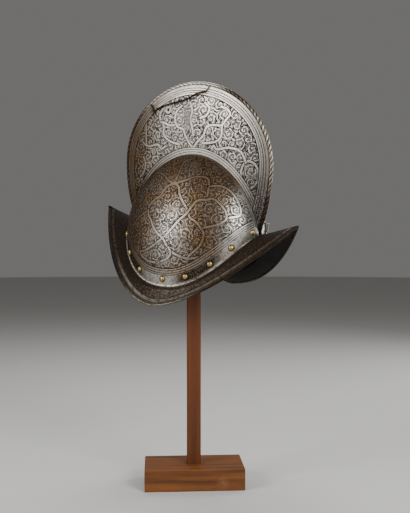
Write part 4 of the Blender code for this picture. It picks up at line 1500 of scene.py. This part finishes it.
@dataclass
class RopedEdges:
    """Edges of the comb and the brim, filed into ropes of three strands."""

    shape: HelmetShape
    comb_pitch: float = 0.0240
    brim_pitch: float = 0.0108
    strands: int = 3
    depth: float = 0.17
    sides: int = 24
    step: float = 0.0009
    comb_points: int = 700
    brim_points: int = 1400
    # The comb's rope starts this far, in radians, from both points
    comb_start: float = 0.02

    def tree(self) -> Tree:
        """Tree that winds a lobed profile along a curve.

        Returns:
            The tree, with inputs for its radius, pitch, strands, depth, step, sides and finish.
        """
        tree, given = start_tree("rope_along_curve", {
            "Radius": "Float", "Pitch": "Float", "Strands": "Float", "Depth": "Float", "Step": "Float",
            "Sides": "Int", "Finish": "Material"})
        path = add_node(tree, "GeometryNodeResampleCurve", given["Geometry"], named={"Length": given["Step"]},
                        mode="LENGTH")
        travelled = add_node(tree, "GeometryNodeSplineParameter").outputs["Length"]
        turns = add_node(tree, "ShaderNodeMath", travelled, given["Pitch"], operation="DIVIDE")
        twist = add_node(tree, "ShaderNodeMath", turns, 2.0 * math.pi, operation="MULTIPLY")
        wound = add_node(tree, "GeometryNodeSetCurveTilt", path, named={"Tilt": twist.outputs[0]})
        # The profile: round ridges with sharp grooves between them
        ring = add_node(tree, "GeometryNodeCurvePrimitiveCircle", given["Sides"], mode="RADIUS",
                        named={"Radius": given["Radius"]}).outputs["Curve"]
        number = add_node(tree, "GeometryNodeInputIndex")
        share = add_node(tree, "ShaderNodeMath", number, given["Sides"], operation="DIVIDE")
        half = add_node(tree, "ShaderNodeMath", share, math.pi, operation="MULTIPLY")
        beat = add_node(tree, "ShaderNodeMath", half, given["Strands"], operation="MULTIPLY")
        wave = add_node(tree, "ShaderNodeMath", beat, operation="COSINE")
        ridge = add_node(tree, "ShaderNodeMath", wave, operation="ABSOLUTE")
        low = add_node(tree, "ShaderNodeMath", 1.0, ridge, operation="SUBTRACT")
        cut = add_node(tree, "ShaderNodeMath", low, given["Depth"], operation="MULTIPLY")
        scale = add_node(tree, "ShaderNodeMath", 1.0, cut, operation="SUBTRACT")
        where = add_node(tree, "GeometryNodeInputPosition")
        moved = add_node(tree, "ShaderNodeVectorMath", where, named={"Scale": scale.outputs[0]}, operation="SCALE")
        marked = add_node(tree, "GeometryNodeStoreNamedAttribute", ring, named={"Name": "groove",
                                                                                "Value": low.outputs[0]},
                          data_type="FLOAT", domain="POINT")
        lobed = add_node(tree, "GeometryNodeSetPosition", marked, named={"Position": moved.outputs[0]})
        thin = add_node(tree, "GeometryNodeInputRadius")
        solid = add_node(tree, "GeometryNodeCurveToMesh", wound, lobed, named={"Scale": thin.outputs[0],
                                                                               "Fill Caps": True})
        rounded = add_node(tree, "GeometryNodeSetShadeSmooth", solid)
        plain = add_node(tree, "GeometryNodeRealizeInstances", rounded)
        dressed = add_node(tree, "GeometryNodeSetMaterial", plain, named={"Material": given["Finish"]})
        add_node(tree, "NodeGroupOutput", dressed)
        return tree

    def path(self, name: str, points: Array, thin: Array, cyclic: bool) -> Piece:
        """Draw the curve that a rope follows.

        Args:
            name: Name of the curve.
            points: Its points, one a row.
            thin: Share of the rope's radius at each.
            cyclic: Whether its ends join.

        Returns:
            The linked curve.
        """
        data = bpy.data.curves.new(name, "CURVE")
        data.dimensions = "3D"
        line = data.splines.new("POLY")
        line.points.add(len(points) - 1)
        line.points.foreach_set("co", np.insert(points, 3, 1.0, axis=1).astype(np.float32).reshape(-1))
        line.points.foreach_set("radius", thin.astype(np.float32))
        line.use_cyclic_u = cyclic
        return link(name, data)

    def build(self) -> list[Piece]:
        """Build both ropes.

        Returns:
            The comb's rope and the brim's.
        """
        tree = self.tree()
        shape = self.shape
        turn = np.linspace(self.comb_start, math.pi - self.comb_start, self.comb_points)
        middle = 0.5 * (shape.bead(turn, 0.0) + shape.bead(turn, math.pi))
        half, sign = fold(np.linspace(0.0, 2.0 * math.pi, self.brim_points, endpoint=False))
        rim = mirrored(0.5 * (shape.brim_edge(half, 0.0) + shape.brim_edge(half, math.pi)), sign)
        # The brim's rope takes a whole number of turns, so that its ends meet
        length = np.linalg.norm(np.roll(rim, -1, axis=0) - rim, axis=1).sum()
        pitch = length / round(length / self.brim_pitch)
        made = []
        for name, points, thin, cyclic, size, wind, finish in (
                ("comb_rope", middle, np.sin(turn) ** shape.comb_bead_power, False, shape.comb_bead,
                 self.comb_pitch, RopedSteel("filed_steel_comb_rope")),
                ("brim_rope", rim, np.ones(len(rim)), True, shape.brim_bead, pitch,
                 RopedSteel("filed_steel_brim_rope", "#958C7E", "#0B0806", brown="#33261B"))):
            source = self.path(name, shape.stand(points), thin, cyclic)
            sizes = {"Radius": size, "Pitch": wind, "Strands": float(self.strands), "Depth": self.depth,
                     "Step": self.step, "Sides": self.sides, "Finish": finish.build()}
            piece = grow(tree, source, sizes, name)
            self.wear(piece, cyclic)
            made.append(settle(piece, Slot.STEEL, "shell"))
        return made

    def wear(self, piece: Piece, brim: bool) -> None:
        """Store where a rope is rubbed flat and pale, and where it is brown, with painted highlight and painted shade
        among them.

        Args:
            piece: The rope.
            brim: Whether it is the brim's.
        """
        places = np.empty(len(piece.data.vertices) * 3, dtype=np.float32)
        piece.data.vertices.foreach_get("co", places)
        seat = np.array(self.shape.seat().inverted())
        local = (places.reshape(-1, 3) @ seat[:3, :3].T + seat[:3, 3]) / MM
        x, z = local[:, 0], local[:, 2]
        # The brim's rope is brown towards both points and pale along the sides, where it takes a painted highlight.
        # The comb's is flat and pale on top, partly rubbed and partly painted highlight; dark brown as painted shade
        # at the front and at the top of the back, and brown low down at the back, partly painted shade
        if brim:
            rubbed, brown = 0.0 * x, 0.1 + 0.85 * smooth(np.abs(x), 22.0, 80.0)
        else:
            rubbed = smooth(x, -60.0, -25.0)
            behind = smooth(-x, 15.0, 40.0)
            brown = np.maximum(smooth(x, 70.0, 118.0), behind * np.maximum(
                0.9 * bump(x, -62.0, 30.0) * smooth(z, 225.0, 250.0), 0.95 * (1.0 - smooth(z, 118.0, 178.0))))
        store(piece.data, "rubbed", rubbed)
        store(piece.data, "patina", brown)


@dataclass
class LiningRivets:
    """Domed brass rivets that held the lining, driven through the foot of the bowl."""

    shape: HelmetShape
    turns: tuple[float, ...] = (13.0, 32.0, 49.8, 68.2, 92.5, 111.2, 130.0, 147.5, 168.0)
    rise: float = 0.0088
    head_radius: float = 0.0040
    head_height: float = 0.0026
    head_segments: int = 24
    head_rings: int = 14
    burr_radius: float = 0.0028
    burr_height: float = 0.0009
    burr_sides: int = 16
    sharp_angle: float = 50.0

    def places(self) -> tuple[Array, Array]:
        """Find where the rivets sit, in the helmet's frame.

        Returns:
            Middle of each head on the plate, and the direction that it faces.
        """
        spots, facing = [], []
        for side in Side:
            turns = self.turns if side is Side.LEFT else self.turns[:-1]
            turn = np.radians(np.array(turns))
            low, high = self.shape.root(turn), self.shape.ridge(turn)
            part = np.minimum(self.rise / (high - low)[:, 2], 0.98) ** (1.0 / self.shape.rise_power)
            climb = np.arcsin(part) / (math.pi / 2.0)
            step = 0.004
            along = self.shape.bowl(turn + step, climb) - self.shape.bowl(turn - step, climb)
            up = self.shape.bowl(turn, climb + step) - self.shape.bowl(turn, climb - step)
            out = unit(np.cross(unit(up), unit(along)))
            middle = self.shape.bowl(turn, climb)
            out = np.where(((out * middle)[:, :2].sum(1) < 0.0)[:, None], -out, out)
            spots.append(mirrored(middle, side.value))
            facing.append(mirrored(out, side.value))
        return np.vstack(spots), np.vstack(facing)

    def tree(self) -> Tree:
        """Tree that sets one rivet on each point.

        Returns:
            The tree, with inputs for the head, the burr, the plate and the finish.
        """
        tree, given = start_tree("rivets_on_points", {
            "Head Radius": "Float", "Head Height": "Float", "Burr Radius": "Float", "Burr Height": "Float",
            "Plate": "Float", "Finish": "Material"})
        # Head: a ball pressed low, with its lower half flat and sunk a third into the plate
        size = add_node(tree, "ShaderNodeCombineXYZ", given["Head Radius"], given["Head Radius"],
                        given["Head Height"])
        ball = add_node(tree, "GeometryNodeMeshUVSphere", self.head_segments, self.head_rings, 1.0)
        pressed = add_node(tree, "GeometryNodeTransform", ball, named={"Scale": size.outputs[0]})
        where = add_node(tree, "GeometryNodeInputPosition")
        axes = add_node(tree, "ShaderNodeSeparateXYZ", where)
        sunk = add_node(tree, "ShaderNodeMath", given["Plate"], -0.3, operation="MULTIPLY")
        level = add_node(tree, "ShaderNodeMath", axes.outputs[2], sunk, operation="MAXIMUM")
        flat = add_node(tree, "ShaderNodeCombineXYZ", axes.outputs[0], axes.outputs[1], level.outputs[0])
        head = add_node(tree, "GeometryNodeSetPosition", pressed, named={"Position": flat.outputs[0]})
        # Burr: the hammered end inside the plate
        deep = add_node(tree, "ShaderNodeMath", given["Plate"], given["Burr Height"], operation="ADD")
        stub = add_node(tree, "GeometryNodeMeshCylinder", self.burr_sides, 1, 1, given["Burr Radius"], deep)
        below = add_node(tree, "ShaderNodeMath", deep, -0.5, operation="MULTIPLY")
        offset = add_node(tree, "ShaderNodeCombineXYZ", 0.0, 0.0, below)
        burr = add_node(tree, "GeometryNodeTransform", stub, named={"Translation": offset.outputs[0]})
        both = add_node(tree, "GeometryNodeJoinGeometry", head)
        tree.links.new(burr.outputs[0], both.inputs[0])
        facing = add_node(tree, "GeometryNodeInputNamedAttribute", "facing", data_type="FLOAT_VECTOR")
        aim = add_node(tree, "FunctionNodeAlignRotationToVector", named={"Vector": facing.outputs[0]}, axis="Z")
        spread = add_node(tree, "GeometryNodeInstanceOnPoints", given["Geometry"],
                          named={"Instance": both.outputs[0], "Rotation": aim.outputs[0]})
        rounded = add_node(tree, "GeometryNodeSetShadeSmooth", add_node(tree, "GeometryNodeRealizeInstances", spread))
        dressed = add_node(tree, "GeometryNodeSetMaterial", rounded, named={"Material": given["Finish"]})
        add_node(tree, "NodeGroupOutput", dressed)
        return tree

    def build(self) -> list[Piece]:
        """Build all the rivets.

        Returns:
            The rivets as one piece, in a list.
        """
        spots, facing = self.places()
        mesh = bpy.data.meshes.new("rivet_points")
        mesh.from_pydata(self.shape.stand(spots), [], [])
        store(mesh, "facing", facing @ np.array(self.shape.seat())[:3, :3].T)
        # Cast brass, struck over the plate: yellow and satin, with specks of brown tarnish
        finish = CastMetal("cast_brass", "#C4AD6C", "#5A4624", 0.33).build()
        sizes = {"Head Radius": self.head_radius, "Head Height": self.head_height, "Burr Radius": self.burr_radius,
                 "Burr Height": self.burr_height, "Plate": self.shape.plate, "Finish": finish}
        piece = grow(self.tree(), link("rivet_points", mesh), sizes, "lining_rivets")
        piece.data.set_sharp_from_angle(angle=math.radians(self.sharp_angle))
        return [settle(piece, Slot.BRASS, *RIVET_NODES)]


@dataclass
class PlumeSocket:
    """Small turned socket for a plume, standing on the brim behind the bowl."""

    shape: HelmetShape
    back: float = 0.0040
    side: float = 0.0092
    length: float = 0.0175
    top_radius: float = 0.0036
    foot_radius: float = 0.0026
    wall: float = 0.0008
    boss_radius: float = 0.0038
    boss_height: float = 0.0032
    sunk: float = 0.0003
    lean: float = 4.0
    sides: int = 40
    tube_rings: int = 6

    def build(self) -> list[Piece]:
        """Build the socket.

        Returns:
            The socket, in a list.
        """
        place, normal = self.seat()
        # Radius and height of each ring: the boss, the slightly hollow tube, and the lip and the bore inside it
        wide, top, low, end = self.boss_radius, self.top_radius, self.foot_radius, self.length
        boss = [(0.0, -self.sunk), (wide, -self.sunk), (wide * 1.02, 0.0006), (wide, 0.0013),
                (low * 1.12, 0.0024), (low * 0.98, 0.0034), (low, 0.0046)]
        tube = [(low + (top - low) * share - 0.00012 * math.sin(math.pi * share), 0.0052 + (end - 0.0068) * share)
                for share in np.linspace(0.0, 1.0, self.tube_rings + 1)]
        lip = [(top, end - 0.0014), (top + 0.00018, end - 0.0010), (top + 0.0002, end - 0.0005), (top, end),
               (top - self.wall, end), (top - self.wall, end - 0.0006),
               (low - self.wall, self.boss_height), (0.0, self.boss_height)]
        profile = np.array(boss + tube + lip)
        angle = np.linspace(0.0, 2.0 * math.pi, self.sides, endpoint=False)[:, None]
        rings = np.stack([profile[:, 0] * np.cos(angle), profile[:, 0] * np.sin(angle),
                          profile[:, 1] + 0.0 * angle], -1)
        # The foot stands square on the brim; the tube above it leans a little
        share = smooth(rings[..., 2], 0.0012, 0.0044)[..., None]
        square = np.array(normal.to_track_quat("Z", "Y").to_matrix())
        leaning = np.array(Matrix.Rotation(math.radians(-self.lean), 3, "Y"))
        placed = (rings @ square.T) * (1.0 - share) + (rings @ leaning.T) * share + np.array(place)
        piece = ring_solid("plume_socket", self.shape.stand(placed), True, {})
        # Turned mild steel, rubbed bright, with brown specks
        piece.data.materials.append(CastMetal("turned_mild_steel", "#B9B3A6", "#5A4A3A", 0.34).build())
        return [settle(piece, Slot.HOLDER, "plume_holder")]

    def seat(self) -> tuple[Vector, Vector]:
        """Find the brim's upper face under the socket, by a ray from above.

        Returns:
            The point, and the face's direction there.
        """
        turn = np.linspace(math.pi - 0.5, math.pi, 60)[:, None]
        reach = np.linspace(0.0, 1.0, 20)[None, :]
        face = mirrored(self.shape.brim(turn + 0.0 * reach, reach + 0.0 * turn), Side.RIGHT.value)
        number = np.arange(face.shape[0] * face.shape[1]).reshape(face.shape[:2])
        quads = np.stack([number[:-1, :-1], number[1:, :-1], number[1:, 1:], number[:-1, 1:]], -1).reshape(-1, 4)
        tree = BVHTree.FromPolygons([Vector(p) for p in face.reshape(-1, 3)], quads.tolist())
        start = Vector((-self.shape.root_half_length - self.back, -self.side, 0.3))
        place, normal, _, _ = tree.ray_cast(start, Vector((0.0, 0.0, -1.0)))
        return place, normal if normal.z > 0.0 else -normal


@dataclass
class Stand:
    """Wooden block and post, kept as they are and given their wood."""

    block_turn: float = -52.7

    def build(self) -> None:
        """Dress the block and the post."""
        turn = math.radians(-self.block_turn)
        # Block: grain along its length. Post: grain upright, so its length is turned down to X
        for node, finish in (("stand_block", OiledHardwood("oiled_sapele_block", "#8C5527", "#4C2C15",
                                                           (0.0, 0.0, turn), (0.0075, 0.0577, 0.0120))),
                             ("stand_post", OiledHardwood("oiled_sapele_post", "#693717", "#4A2711",
                                                          (0.0, math.radians(90.0), 0.0)))):
            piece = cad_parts[node]
            made = finish.build()
            for slot in piece.material_slots:
                slot.material = made
            log.info("%s: %d faces", node, len(piece.data.polygons))


@dataclass
class Studio:
    """Plain pale floor, soft lights and the camera."""

    camera_place: Point = (0.96964, 0.66669, 0.3546)
    camera_pitch: float = 89.47
    camera_turn: float = 123.68
    lens: float = 54.62
    sensor: float = 36.0
    floor_radius: float = 9.0
    paper: str = "#C9C8C5"
    paper_roughness: float = 0.85
    surroundings: str = "#B4B3B1"
    surroundings_strength: float = 0.35
    # Name, place, aim, side in metres and power in watts of each softbox
    softboxes: tuple[tuple[str, Point, Point, float, float], ...] = (
        ("right_softbox", (0.6, 1.6, 1.1), (0.0, 0.0, 0.42), 0.8, 30.0),
        ("left_softbox", (1.45, -0.62, 1.0), (0.0, 0.0, 0.45), 0.8, 21.0),
        ("top_softbox", (-0.6, -0.5, 1.7), (0.0, 0.0, 0.35), 0.9, 12.0),
        ("far_softbox", (-1.6, 0.75, 0.75), (0.0, 0.0, 0.45), 1.1, 16.0))

    def build(self) -> None:
        """Set up the floor, the lights and the camera."""
        self.floor()
        self.world()
        for softbox in self.softboxes:
            self.lamp(*softbox)
        view = bpy.data.cameras.new("camera")
        view.lens = self.lens
        view.sensor_width = self.sensor
        made = link("camera", view)
        made.location = self.camera_place
        made.rotation_euler = (math.radians(self.camera_pitch), 0.0, math.radians(self.camera_turn))
        bpy.context.scene.camera = made

    def floor(self) -> None:
        """Round matt floor, far wider than the picture."""
        mesh = bpy.data.meshes.new("floor")
        build = bmesh.new()
        bmesh.ops.create_circle(build, cap_ends=True, segments=96, radius=self.floor_radius)
        build.to_mesh(mesh)
        build.free()
        # Studio paper: uncoated pulp, even and matt
        made, _, shader = start_material("matt_studio_paper")
        shader.inputs["Base Color"].default_value = linear(self.paper)
        shader.inputs["Roughness"].default_value = self.paper_roughness
        mesh.materials.append(made)
        link("floor", mesh)

    def world(self) -> None:
        """Even, dim grey surroundings."""
        world = bpy.data.worlds.new("studio")
        world.use_nodes = True
        back = world.node_tree.nodes["Background"]
        back.inputs["Color"].default_value = linear(self.surroundings)
        back.inputs["Strength"].default_value = self.surroundings_strength
        bpy.context.scene.world = world

    def lamp(self, name: str, place: Point, aim: Point, size: float, power: float) -> None:
        """Add one square softbox.

        Args:
            name: Name of the light.
            place: Where it hangs.
            aim: What it points at.
            size: Length of its sides.
            power: Its power in watts.
        """
        light = bpy.data.lights.new(name, "AREA")
        light.size = size
        light.energy = power
        made = link(name, light)
        made.location = place
        made.rotation_euler = (Vector(aim) - Vector(place)).to_track_quat("-Z", "Y").to_euler()


def main() -> None:
    """Build the helmet's pieces in order, dress the stand and set up the studio."""
    logging.basicConfig(level=logging.INFO, format="%(message)s")
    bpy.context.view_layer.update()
    shape = HelmetShape()
    rivets = LiningRivets(shape)
    lining = BlackenedSteel().build()
    comb_steel = EtchedSteel("acid_etched_steel_comb", COMB_EDGE_BANDS, COMB_BASE_BANDS, bright="#CEC8BE",
                             outline=1.1, dot_light=0.7, rubbed=0.6, streaks=1.0, pitting=0.2)
    bowl_steel = EtchedSteel("acid_etched_steel_bowl", BOWL_RIDGE_BANDS, BOWL_BASE_BANDS, pitting=0.5)
    brim_steel = EtchedSteel("acid_etched_steel_brim", BRIM_EDGE_BANDS, BRIM_ROOT_BANDS, bright="#C6BDAE",
                             patina="#8F7052", grime_and_shade="#1C130B", contrast=0.6, streaks=0.9, rubbed=0.35, pitting=0.8)
    Comb(shape, comb_steel.build(), lining).build()
    Bowl(shape, bowl_steel.build(), lining, rivets.places()[0]).build()
    Brim(shape, brim_steel.build(), lining).build()
    RopedEdges(shape).build()
    rivets.build()
    PlumeSocket(shape).build()
    Stand().build()
    Studio().build()
    bpy.context.view_layer.update()


if __name__ == "__main__":
    main()
